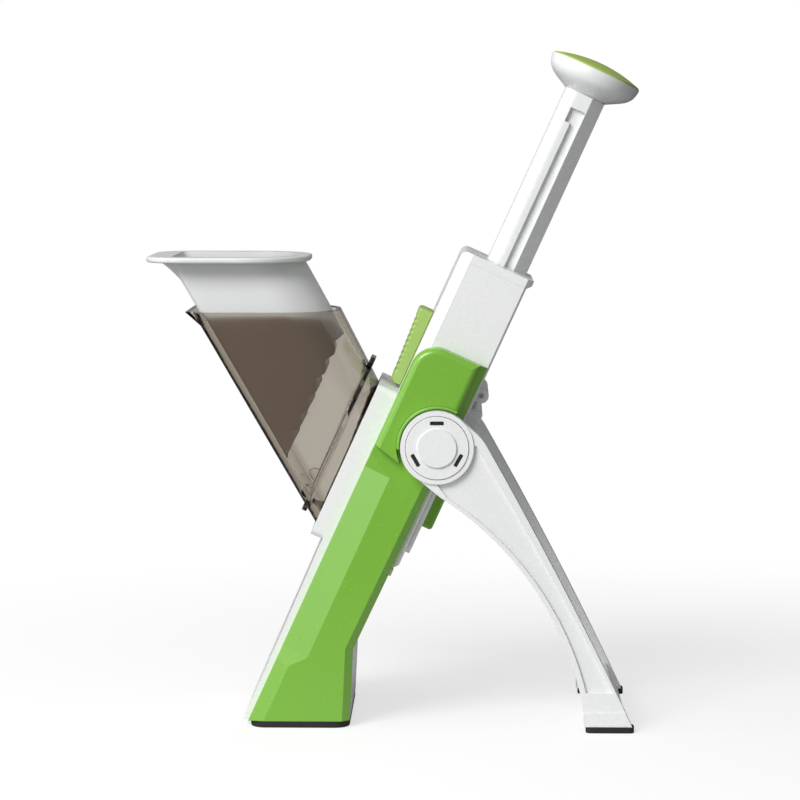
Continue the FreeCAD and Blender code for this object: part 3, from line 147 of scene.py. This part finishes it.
def eased_edges(tree, radius, samples):
    """Normal rounded over edges by a radius in millimetres."""
    return add(tree, "ShaderNodeBevel", {"samples": samples}, {"Radius": radius / 1000}).outputs["Normal"]


def bump(tree, height, strength, depth, normal=None):
    """Normal bent by a height of a depth in millimetres, on top of another normal."""
    inputs = {"Height": height, "Strength": strength, "Distance": depth / 1000}
    if normal is not None:
        inputs["Normal"] = normal
    return add(tree, "ShaderNodeBump", inputs=inputs).outputs["Normal"]


def principled(tree, inputs):
    """Principled shader that is the whole surface of its material."""
    shader = add(tree, "ShaderNodeBsdfPrincipled", inputs=inputs)
    add(tree, "ShaderNodeOutputMaterial", inputs={"Surface": shader.outputs["BSDF"]})


# %% [markdown]
# Most of the tool is injection-moulded ABS. A polished mould leaves a glossy skin that isn't quite flat:
# the wall sinks a little over ribs, and a fine orange peel softens what it mirrors. So each moulded finish
# has two bumps, a wide shallow one and a fine one, a slow drift between two close tones, and a roughness
# that follows the fine bump. Moulded edges are never knife sharp, so the normal is eased over half a
# millimetre.

# %% Moulded plastic
DRIFT_MM, SINK_MM, EDGE_MM = 38, 16, 0.5
PEEL_LOW, PEEL_HIGH, GLOSS_SPAN = 0.3, 0.7, 0.03


def moulded_plastic(name, tone, drift, roughness, peel_mm, ior=1.53):
    """Injection-moulded plastic between two close tones, with an orange peel and eased edges."""
    material, tree, coords = blank_material(name)
    slow = noise(tree, coords, DRIFT_MM, detail=2.0)
    sink = noise(tree, coords, SINK_MM, detail=0.0)
    peel = noise(tree, coords, peel_mm, detail=2.0)
    gloss = spread(tree, peel, PEEL_LOW, PEEL_HIGH, roughness - GLOSS_SPAN, roughness + GLOSS_SPAN)
    wide = bump(tree, sink, strength=0.12, depth=0.1, normal=eased_edges(tree, EDGE_MM, samples=6))
    fine = bump(tree, peel, strength=0.03, depth=0.02, normal=wide)
    principled(tree, {"Base Color": two_tones(tree, slow, tone, drift), "Roughness": gloss, "Normal": fine,
                      "IOR": ior})
    print("made", name)
    return material


white_abs = moulded_plastic("white_abs_gloss", "#EFF0F0", "#ECEDED", roughness=0.27, peel_mm=3.2)
green_abs = moulded_plastic("leaf_green_abs_gloss", "#7CB73E", "#79B33C", roughness=0.25, peel_mm=3.2)
soft_green = moulded_plastic("soft_touch_green_tpe", "#AFC863", "#A8C15D",
                             roughness=0.55, peel_mm=0.9, ior=1.4)
satin_green = moulded_plastic("satin_green_abs", "#99B95D", "#93B359", roughness=0.45, peel_mm=1.6)
white_pp = moulded_plastic("white_pp_satin", "#DDDEDE", "#DADBDB", roughness=0.33, peel_mm=2.4)
grey_pom = moulded_plastic("pale_grey_pom_satin", "#D3D6D6", "#CBCFCF", roughness=0.42, peel_mm=1.1)

# %% [markdown]
# The feed chute is smoke-tinted SAN, a clear glossy plastic. The tint is in the plastic, not on it: light
# that runs along a wall goes through more of it, so edges look darker than faces. The shader is clear, and
# an absorbing volume inside the walls makes the colour. A surface that bends light would leave the pusher
# behind it unlit, so the rays that gather light pass it straight, and dimmed. Rim, beads and bosses have
# rounded edges, and easing the normal over about a millimetre gives each its bright line.

# %% Smoke-clear plastic
DIMMED = (0.6, 0.52, 0.48, 1)
SMOKE, SMOKE_DENSITY = (0.6525, 0.612, 0.545, 1), 480.0
smoke_san, tree, coords = blank_material("smoke_san_clear")
flow = noise(tree, coords, size=22, detail=1.0)
ripple = bump(tree, flow, strength=0.15, depth=0.08, normal=eased_edges(tree, radius=1.2, samples=8))
clear = add(tree, "ShaderNodeBsdfPrincipled",
            inputs={"Base Color": WHITE, "Roughness": 0.02, "IOR": 1.5, "Transmission Weight": 1.0,
                    "Normal": ripple}).outputs["BSDF"]
passing = add(tree, "ShaderNodeBsdfTransparent", inputs={"Color": DIMMED}).outputs["BSDF"]
path = add(tree, "ShaderNodeLightPath").outputs
lit = add(tree, "ShaderNodeMixShader", inputs={"Fac": path["Is Shadow Ray"], 1: clear, 2: passing})
mixed = add(tree, "ShaderNodeMixShader",
            inputs={"Fac": path["Is Diffuse Ray"], 1: lit.outputs["Shader"], 2: passing})
tint = add(tree, "ShaderNodeVolumeAbsorption", inputs={"Color": SMOKE, "Density": SMOKE_DENSITY})
add(tree, "ShaderNodeOutputMaterial",
    inputs={"Surface": mixed.outputs["Shader"], "Volume": tint.outputs["Volume"]})
print("made", smoke_san.name)

# %% [markdown]
# Blade, feed plate, guide rods and pins are stainless steel. Rolled and ground sheet carries fine parallel
# scratches, which stretch a highlight across them. A noise that is long one way and short the other draws
# those scratches. The real ones are about 0.05 mm wide, so they are drawn ten times coarser to show at all.

# %% Brushed stainless steel
brushed_steel, tree, coords = blank_material("stainless_steel_brushed")
along = add(tree, "ShaderNodeMapping", inputs={"Scale": (1.0, 0.04, 1.0), "Vector": coords})
scratch = noise(tree, along.outputs["Vector"], size=0.5, detail=3.0)
principled(tree, {"Base Color": linear("#C8CACC"), "Metallic": 1.0,
                  "Roughness": spread(tree, scratch, 0.0, 1.0, low=0.2, high=0.38),
                  "Normal": bump(tree, scratch, strength=0.2, depth=0.02)})
print("made", brushed_steel.name)

# %% [markdown]
# The pads under the tower and the feet are black TPE, a soft rubber. Its mould is spark-eroded, so the
# surface is a dull, even grain that kills reflections, a little greyer where it has been wiped.

# %% Black rubber
black_tpe, tree, coords = blank_material("black_tpe_grained")
grain = add(tree, "ShaderNodeTexVoronoi", inputs={"Scale": per_mm(0.9), "Vector": coords})
wiped = noise(tree, coords, size=14, detail=3.0)
principled(tree, {"Base Color": two_tones(tree, wiped, "#141414", "#232424"), "Roughness": 0.72, "IOR": 1.5,
                  "Normal": bump(tree, grain.outputs["Distance"], strength=0.5, depth=0.06)})
print("made", black_tpe.name)

# %% [markdown]
# Spring wire is drawn through a die and oiled, which leaves a darker steel whose gloss varies along it.

# %% Drawn spring wire
spring_wire, tree, coords = blank_material("spring_steel_drawn")
oily = spread(tree, noise(tree, coords, size=0.4, detail=2.0), 0.0, 1.0, low=0.24, high=0.4)
principled(tree, {"Base Color": linear("#8D9093"), "Metallic": 1.0, "Roughness": oily})
print("made", spring_wire.name)

# %% [markdown]
# Each CAD node keeps its shape and takes one of these finishes. Only its list of materials changes, so its
# points and faces stay as they were packed. The palm pad is softer than the rest, and the pusher is
# polypropylene, which is a duller and greyer white than ABS.

# %% Give the CAD nodes their finish
FINISH = {"white_plastic": white_abs, "green_plastic": green_abs, "smoke_clear_plastic": smoke_san,
          "stainless_steel": brushed_steel, "spring_steel": spring_wire, "pale_grey_plastic": grey_pom,
          "black_rubber": black_tpe}
slot_of = {entry["node"]: entry["material_slot"] for entry in frame["record"]["subparts"]}
for name, node in nodes.items():
    node.data.materials.clear()
    node.data.materials.append(FINISH[slot_of[name]])
nodes["handle_pad"].data.materials[0] = soft_green
nodes["food_pusher"].data.materials[0] = white_pp
print("finished", len(slot_of), "nodes in", len(FINISH), "finishes")

# %% [markdown]
# A Geometry Nodes tree is a recipe whose sizes are its inputs. These helpers open a tree, end it with real
# geometry in one material, and run it on an empty object. What comes out becomes a plain mesh in its place,
# and the recipe goes, so that the piece is as plain as a CAD node.

# %% Open, end and run a tree
def geometry_tree(name, sizes):
    """Empty tree with float inputs, and the sockets of those inputs."""
    tree = bpy.data.node_groups.new(name, "GeometryNodeTree")
    tree.interface.new_socket("Geometry", in_out="OUTPUT", socket_type="NodeSocketGeometry")
    for label, value in sizes.items():
        socket = tree.interface.new_socket(label, in_out="INPUT", socket_type="NodeSocketFloat")
        socket.default_value = value
    return tree, add(tree, "NodeGroupInput").outputs


def end_tree(tree, geometry, material):
    """End a tree with real geometry in one material."""
    real = add(tree, "GeometryNodeRealizeInstances", inputs={"Geometry": geometry}).outputs["Geometry"]
    dressed = add(tree, "GeometryNodeSetMaterial", inputs={"Geometry": real, "Material": material})
    add(tree, "NodeGroupOutput", inputs={"Geometry": dressed.outputs["Geometry"]})
    print(tree.name, "has", len(tree.nodes), "nodes")


def made_by(tree, name, place):
    """Plain mesh object that a tree makes, with its place in its mesh."""
    maker = bpy.data.objects.new(f"{name}_maker", bpy.data.meshes.new(f"{name}_maker"))
    scene.collection.objects.link(maker)
    maker.modifiers.new("recipe", "NODES").node_group = tree
    graph = bpy.context.evaluated_depsgraph_get()
    mesh = bpy.data.meshes.new_from_object(maker.evaluated_get(graph))
    bpy.data.objects.remove(maker)
    mesh.transform(place)
    piece = bpy.data.objects.new(name, mesh)
    scene.collection.objects.link(piece)
    print(name, len(mesh.polygons), "faces")
    return piece


# %% [markdown]
# Two compression springs lift the handle again. A real one has dead coils at its ends, wound close so that
# it stands flat on its seat, and open coils between. A spiral curve gives the winding, its height is then
# spread by where a point is along the wire, and a round profile makes it wire.

# %% A tree that winds a spring
WIRE, FREE = 0.55, 138.0
winding, given = geometry_tree("wind_spring", {"Radius": 0.0036, "Wire": WIRE / 1000,
                                               "Height": (FREE - 2 * WIRE) / 1000, "Turns": 17.0,
                                               "Dead share": 0.09, "Dead height": 0.0017})
spiral = add(winding, "GeometryNodeCurveSpiral",
             inputs={"Resolution": 20, "Height": 0.0, "Rotations": given["Turns"],
                     "Start Radius": given["Radius"], "End Radius": given["Radius"]})
share = add(winding, "GeometryNodeSplineParameter").outputs["Factor"]
dead, dead_high = given["Dead share"], given["Dead height"]
upper = maths(winding, "SUBTRACT", 1.0, dead)
open_high = maths(winding, "SUBTRACT", given["Height"], maths(winding, "MULTIPLY", dead_high, 2.0))
first = spread(winding, share, 0.0, dead, 0.0, dead_high)
middle = spread(winding, share, dead, upper, 0.0, open_high)
last = spread(winding, share, upper, 1.0, 0.0, dead_high)
rise = maths(winding, "ADD", maths(winding, "ADD", first, middle), last)
lift = add(winding, "ShaderNodeCombineXYZ", inputs={"Z": rise}).outputs["Vector"]
raised = add(winding, "GeometryNodeSetPosition",
             inputs={"Geometry": spiral.outputs["Curve"], "Offset": lift})
round_wire = add(winding, "GeometryNodeCurvePrimitiveCircle",
                 inputs={"Resolution": 8, "Radius": given["Wire"]})
wire_mesh = add(winding, "GeometryNodeCurveToMesh",
                inputs={"Curve": raised.outputs["Geometry"], "Profile Curve": round_wire.outputs["Curve"],
                        "Fill Caps": True})
smooth = add(winding, "GeometryNodeSetShadeSmooth", inputs={"Geometry": wire_mesh.outputs["Mesh"]})
end_tree(winding, smooth.outputs["Geometry"], spring_wire)

# %% [markdown]
# One spring stands on each side of the rod, fixed to the tower. On the real tool it shortens along the tower
# towards its seat as the handle goes down, from 138 mm to 38 mm. Here it is wound at its free length.

# %% The two springs
SPRING_X, SPRING_Y, SEAT = 1.0, 35.5, -80.0
for side, sign in (("right", -1), ("left", 1)):
    low = in_tower(SPRING_X, sign * SPRING_Y, SEAT + WIRE)
    place = Matrix.Translation(low) @ Matrix.Rotation(LEAN, 4, "Y")
    spring = made_by(winding, f"{side}_wound_spring", place)
    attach(spring, "tower")
    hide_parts(f"{side}_return_spring")
    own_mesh(spring)

# %% [markdown]
# Each hub cap has three slots, which look black from the shade of the hollow behind them. The solid's slots
# have a white floor, so a thin black plate goes into each as painted shade, in the black rubber's finish. A
# tree sets one flat bar three times round the hub.

# %% Painted shade in the hub caps' slots
SHADE_PLATE_Y = 0.0623
QUARTER = math.radians(90)
ringing, given = geometry_tree("ring_of_slot_shade",
                               {"Ring": 0.0146, "Wide": 0.0020, "Long": 0.0078, "Deep": 0.0007})
ring = add(ringing, "GeometryNodeMeshCircle", inputs={"Vertices": 3, "Radius": given["Ring"]})
size = add(ringing, "ShaderNodeCombineXYZ",
           inputs={"X": given["Wide"], "Y": given["Long"], "Z": given["Deep"]})
shade_plate = add(ringing, "GeometryNodeMeshCube",
            inputs={"Vertices X": 3, "Vertices Y": 7, "Vertices Z": 2, "Size": size.outputs["Vector"]})
outward = add(ringing, "GeometryNodeInputPosition").outputs["Position"]
angle = add(ringing, "FunctionNodeAlignRotationToVector", {"axis": "X"}, {"Vector": outward})
shade_plates = add(ringing, "GeometryNodeInstanceOnPoints",
             inputs={"Points": ring.outputs["Mesh"], "Instance": shade_plate.outputs["Mesh"],
                     "Rotation": angle.outputs["Rotation"]})
# The black rubber finish on these plates is painted shade for the hollow behind the slots.
end_tree(ringing, shade_plates.outputs["Instances"], black_tpe)
for side, sign in (("right", -1), ("left", 1)):
    stand = Matrix.Translation(HUB + Vector((0, sign * SHADE_PLATE_Y, 0)))
    stand = stand @ Matrix.Rotation(QUARTER, 4, "X") @ Matrix.Rotation(QUARTER, 4, "Z")
    # Each piece is a ring of black plates painted as the shade inside the slots.
    slots = made_by(ringing, f"{side}_hub_slots", stand)
    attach(slots, "tower")

# %% [markdown]
# Both the handle and the lips round the hubs are turned shapes: half an outline, swept about an axis. A
# lathe function spins the outline, welds the seam and the poles, and turns the faces outwards. A full turn
# closes on itself, and a part turn gets a face at each end. Faces shade smoothly, except over real edges.

# %% A lathe
FULL_TURN = 2 * math.pi
SHARP = math.radians(40)
WELD = 0.000001


def smooth_piece(name, mesh, material):
    """Object of a smooth mesh with sharp edges, in one material."""
    mesh.shade_smooth()
    mesh.set_sharp_from_angle(angle=SHARP)
    mesh.materials.append(material)
    piece = bpy.data.objects.new(name, mesh)
    scene.collection.objects.link(piece)
    print(name, len(mesh.polygons), "faces")
    return piece


def lathe(name, material, outline, steps, start=0.0, turn=FULL_TURN):
    """Mesh object turned about Z from an outline of radius and height in millimetres."""
    shape = bmesh.new()
    profile = [shape.verts.new((radius / 1000, 0, height / 1000)) for radius, height in outline]
    whole = turn >= FULL_TURN
    pairs = list(zip(profile, profile[1:])) + ([] if whole else [(profile[-1], profile[0])])
    edges = [shape.edges.new(pair) for pair in pairs]
    if not whole:
        shape.faces.new(profile)
    bmesh.ops.rotate(shape, verts=shape.verts, matrix=Matrix.Rotation(start, 3, "Z"))
    spun = bmesh.ops.spin(shape, geom=profile + edges, axis=(0, 0, 1), angle=turn, steps=steps,
                          use_merge=whole)
    if not whole:
        shape.faces.new([item for item in spun["geom_last"] if isinstance(item, bmesh.types.BMVert)])
    bmesh.ops.remove_doubles(shape, verts=shape.verts, dist=WELD)
    bmesh.ops.recalc_face_normals(shape, faces=shape.faces)
    mesh = bpy.data.meshes.new(name)
    shape.to_mesh(mesh)
    shape.free()
    return smooth_piece(name, mesh, material)


# %% [markdown]
# The real handle is a bowl that swells from the neck and rolls into a straight rim. The solid has a crisp
# edge there. One Bezier curve from the neck to the rim, in millimetres above the rod's top, draws the
# rounder form.

# %% The bowl of the handle
ROD_AXIS, ROD_TOP = -5.3, 224.7
NECK, RIM, CROWN = 13.3, 28.5, 16.1
PULLS = (Vector((23.0, 5.4)), Vector((28.1, 6.4)))
BOWL_POINTS = 24
bowl = interpolate_bezier(Vector((NECK, 0)), *PULLS, Vector((RIM, CROWN)), BOWL_POINTS)
outline = [(0.0, 0.0)] + [tuple(point) for point in bowl] + [(0.0, CROWN)]
handle = lathe("moulded_handle", white_abs, outline, steps=96)
handle.data.transform(TOWER @ Matrix.Translation((ROD_AXIS / 1000, 0, ROD_TOP / 1000)))
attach(handle, "plunger")
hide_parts("handle_shell")

# %% [markdown]
# Round the upper part of each hub the green cover rises in a narrow rounded lip, which catches the light as
# a paler line. It sits in the groove between the cover's shoulder and the leg, clear of the turning leg. The
# left lip is a mirror image, so its faces are turned round again.

# %% Lips round the hubs
LIP_INNER, LIP_OUTER, LIP_STRAIGHT, LIP_CREST = 22.3, 24.25, 4.5, 1.0
LIP_START, LIP_TURN = math.radians(84), math.radians(124)
COVER_FACE = 0.052
CREST_STEPS = 8
middle, half = (LIP_INNER + LIP_OUTER) / 2, (LIP_OUTER - LIP_INNER) / 2
crest = [math.pi * step / CREST_STEPS for step in range(CREST_STEPS + 1)]
outline = [(middle + half * math.cos(turned), LIP_STRAIGHT + LIP_CREST * math.sin(turned))
           for turned in crest]
outline = [(LIP_OUTER, 0.0)] + outline + [(LIP_INNER, 0.0)]
for side, sign in (("right", -1), ("left", 1)):
    lip = lathe(f"{side}_hub_lip", green_abs, outline, steps=48, start=LIP_START, turn=LIP_TURN)
    flat = Matrix(((1, 0, 0, 0), (0, 0, sign, 0), (0, 1, 0, 0), (0, 0, 0, 1)))
    lip.data.transform(TOWER @ Matrix.Translation((0, sign * COVER_FACE, 0)) @ flat)
    if sign > 0:
        lip.data.flip_normals()
    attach(lip, "tower")

# %% [markdown]
# The chute's latch is a wedge that a thumb pushes up. Its grip has fine shallow ribs with rounded crests,
# where the solid has square cuts. The front is a sheet of points over the wedge, drawn back near the edges
# to round them and waved by the ribs.

# %% The front of the latch
LATCH_FOOT, LATCH_LOW, LATCH_LONG, LATCH_HALF = -34.3, 20.4, 48.0, 14.0
THICK_LOW, THICK_TOP, LATCH_ROUND = 6.6, 9.0, 2.0
RIB_FROM, RIB_PITCH, RIB_COUNT, RIB_DEEP = 6.0, 3.6, 10, 0.7
ROWS = 120
HALF_PLACES = (0.0, 6.0, 12.0, 12.8, 13.4, 13.8, LATCH_HALF)


def latch_front(along, y):
    """Tower x of the latch's front at a length from its lower end and a place across."""
    beyond = max(0.0, LATCH_ROUND - along, along - LATCH_LONG + LATCH_ROUND)
    near_edge = min(LATCH_ROUND, math.hypot(beyond, max(0.0, abs(y) - LATCH_HALF + LATCH_ROUND)))
    drawn_back = LATCH_ROUND - math.sqrt(LATCH_ROUND ** 2 - near_edge ** 2)
    turns = (along - RIB_FROM) / RIB_PITCH
    rib = RIB_DEEP * (1 - math.cos(2 * math.pi * turns)) / 2 if 0 < turns < RIB_COUNT else 0.0
    thick = THICK_LOW + (THICK_TOP - THICK_LOW) * along / LATCH_LONG
    return LATCH_FOOT - (thick - drawn_back - rib)


across = [-y for y in HALF_PLACES[:0:-1]] + list(HALF_PLACES)
lengths = [LATCH_LONG * row / ROWS for row in range(ROWS + 1)]
points = [(latch_front(along, y), y, LATCH_LOW + along) for along in lengths for y in across]
wide = len(across)
faces = [(row * wide + at, (row + 1) * wide + at, (row + 1) * wide + at + 1, row * wide + at + 1)
         for row in range(ROWS) for at in range(wide - 1)]
print("latch front:", len(points), "points")

# %% [markdown]
# Walls run from the rim of that sheet to the foot plane, and one flat face there closes the piece. The latch
# has a satin grain, so that a thumb doesn't slip.

# %% Close the latch
rim = list(range(wide)) + [row * wide + wide - 1 for row in range(1, ROWS + 1)]
rim += [ROWS * wide + at for at in range(wide - 2, -1, -1)]
rim += [row * wide for row in range(ROWS - 1, 0, -1)]
first_back = len(points)
points += [(LATCH_FOOT, points[index][1], points[index][2]) for index in rim]
for step, index in enumerate(rim):
    after = (step + 1) % len(rim)
    faces.append((index, rim[after], first_back + after, first_back + step))
faces.append(tuple(range(first_back, len(points))))
latch_mesh = bpy.data.meshes.new("ribbed_latch")
latch_mesh.from_pydata([in_tower(*point) for point in points], [], faces)
latch = smooth_piece("ribbed_latch", latch_mesh, satin_green)
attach(latch, "chute_catch")
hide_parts("chute_latch")

# %% [markdown]
# The stage is a pale floor under a white world, as for a catalogue picture. Near the tool the floor shows a
# third of its own shading, so a soft shadow stays, and it fades to plain white with distance. What the eye
# or clear plastic sees of floor and world is white. The light that falls on things is dimmer, and the far
# floor throws little of it back, as a sheet of paper of limited size does.

# %% Floor
FLOOR_REACH = 6.0
FADE_CENTRE = (0.15, -0.02, 0.0)
FADE_FROM, FADE_TO, GLOW_NEAR, GLOW_FAR = 0.22, 0.68, 0.66, 1.0
DIM_FROM, DIM_TO, TONE_NEAR, TONE_FAR = 0.1, 0.6, 0.68, 0.1


def seen_straight(tree):
    """One for what the eye sees straight or through clear plastic, and zero for light on things."""
    path = add(tree, "ShaderNodeLightPath").outputs
    seen = maths(tree, "MAXIMUM", path["Is Camera Ray"], path["Is Transmission Ray"])
    return maths(tree, "MULTIPLY", seen, maths(tree, "LESS_THAN", path["Diffuse Depth"], 0.5))


floor_white, tree, coords = blank_material("paper_floor_white")
offset = add(tree, "ShaderNodeVectorMath", {"operation": "SUBTRACT"}, {0: coords, 1: FADE_CENTRE})
length = add(tree, "ShaderNodeVectorMath", {"operation": "LENGTH"}, {0: offset.outputs["Vector"]})
away = length.outputs["Value"]
seen = seen_straight(tree)
fade = spread(tree, away, FADE_FROM, FADE_TO, GLOW_NEAR, GLOW_FAR, "SMOOTHSTEP")
share = maths(tree, "MULTIPLY", fade, seen)
dim = spread(tree, away, DIM_FROM, DIM_TO, TONE_NEAR, TONE_FAR, "SMOOTHSTEP")
tone = maths(tree, "MAXIMUM", seen, dim)
paper = add(tree, "ShaderNodeBsdfDiffuse", inputs={"Color": tone}).outputs["BSDF"]
glow = add(tree, "ShaderNodeEmission", inputs={"Color": WHITE, "Strength": 1.0}).outputs["Emission"]
mixed = add(tree, "ShaderNodeMixShader", inputs={"Fac": share, 1: paper, 2: glow})
add(tree, "ShaderNodeOutputMaterial", inputs={"Surface": mixed.outputs["Shader"]})
corners = [(x * FLOOR_REACH, y * FLOOR_REACH, 0) for x, y in ((-1, -1), (1, -1), (1, 1), (-1, 1))]
floor_mesh = bpy.data.meshes.new("paper_floor")
floor_mesh.from_pydata(corners, [], [(0, 1, 2, 3)])
floor_mesh.materials.append(floor_white)
floor = bpy.data.objects.new("paper_floor", floor_mesh)
scene.collection.objects.link(floor)
print("floor", 2 * FLOOR_REACH, "m wide")

# %% [markdown]
# The world uses the same rule: white to the eye, and a weak even light on things, which keeps the shaded
# sides readable.

# %% World
ROOM_LIGHT = 0.27
world = bpy.data.worlds.new("white_room")
scene.world = world
world.use_nodes = True
tree = world.node_tree
tree.nodes.clear()
strength = spread(tree, seen_straight(tree), 0.0, 1.0, ROOM_LIGHT, 1.0)
sky = add(tree, "ShaderNodeBackground", inputs={"Color": WHITE, "Strength": strength})
add(tree, "ShaderNodeOutputWorld", inputs={"Surface": sky.outputs["Background"]})
print("world", world.name)

# %% [markdown]
# The light comes from the front left and above, through a large soft box, as the shadow on the floor and the
# grey rear of the push rod show. A weak panel on the left lightens the facets of the covers, and a low weak
# one gives the near side its sheen.

# %% Soft boxes
def soft_box(name, at, aim, side, watts):
    """Square area lamp at a place, aimed at another."""
    lamp = bpy.data.lights.new(name, "AREA")
    lamp.size = side
    lamp.energy = watts
    holder = bpy.data.objects.new(name, lamp)
    holder.location = at
    holder.rotation_euler = (Vector(aim) - Vector(at)).to_track_quat("-Z", "Y").to_euler()
    scene.collection.objects.link(holder)


soft_box("key_left", (-0.70, -1.07, 1.29), (0.05, 0.0, 0.2), side=0.8, watts=26.0)
soft_box("panel_left", (-1.0, -0.3, 0.6), (0.05, 0.0, 0.2), side=0.8, watts=3.5)
soft_box("sheen_left", (-0.55, -1.2, 0.25), (0.02, 0.0, 0.12), side=0.6, watts=2.5)

# %% [markdown]
# The camera repeats the photograph's view. Depth edges that meet at one point, and the hub's place in the
# frame, gave its direction, distance and focal length: a long lens, 1.65 m from the hub and a little above
# it. A point on the near hub, with its pixel and its depth, then fixes where the camera stands.

# %% Camera
AZIMUTH, ELEVATION = math.radians(1.2217), math.radians(5.609)
FOCAL_PX, FRAME_PX, SENSOR_MM = 2800.0, 800.0, 36.0
SEEN, SEEN_PX, DISTANCE = Vector((0.082, -0.062, 0.170)), (437.0, 448.0), 1.64706
right = Vector((math.cos(AZIMUTH), math.sin(AZIMUTH), 0.0))
level = Vector((-math.sin(AZIMUTH), math.cos(AZIMUTH), 0.0))
ahead = level * math.cos(ELEVATION) - Vector((0.0, 0.0, math.sin(ELEVATION)))
above = right.cross(ahead)
across_px, down_px = (place - FRAME_PX / 2 for place in SEEN_PX)
ray = ahead + right * (across_px / FOCAL_PX) - above * (down_px / FOCAL_PX)
lens = bpy.data.cameras.new("view")
lens.sensor_width = SENSOR_MM
lens.lens = SENSOR_MM * FOCAL_PX / FRAME_PX
lens.clip_end = 30.0
camera = bpy.data.objects.new("view", lens)
turned = Matrix((right, above, -ahead)).transposed().to_4x4()
camera.matrix_world = Matrix.Translation(SEEN - ray * DISTANCE) @ turned
scene.collection.objects.link(camera)
scene.camera = camera
scene.view_settings.view_transform = "Standard"
print("camera at", tuple(round(value, 3) for value in camera.location), "lens", round(lens.lens, 1), "mm")
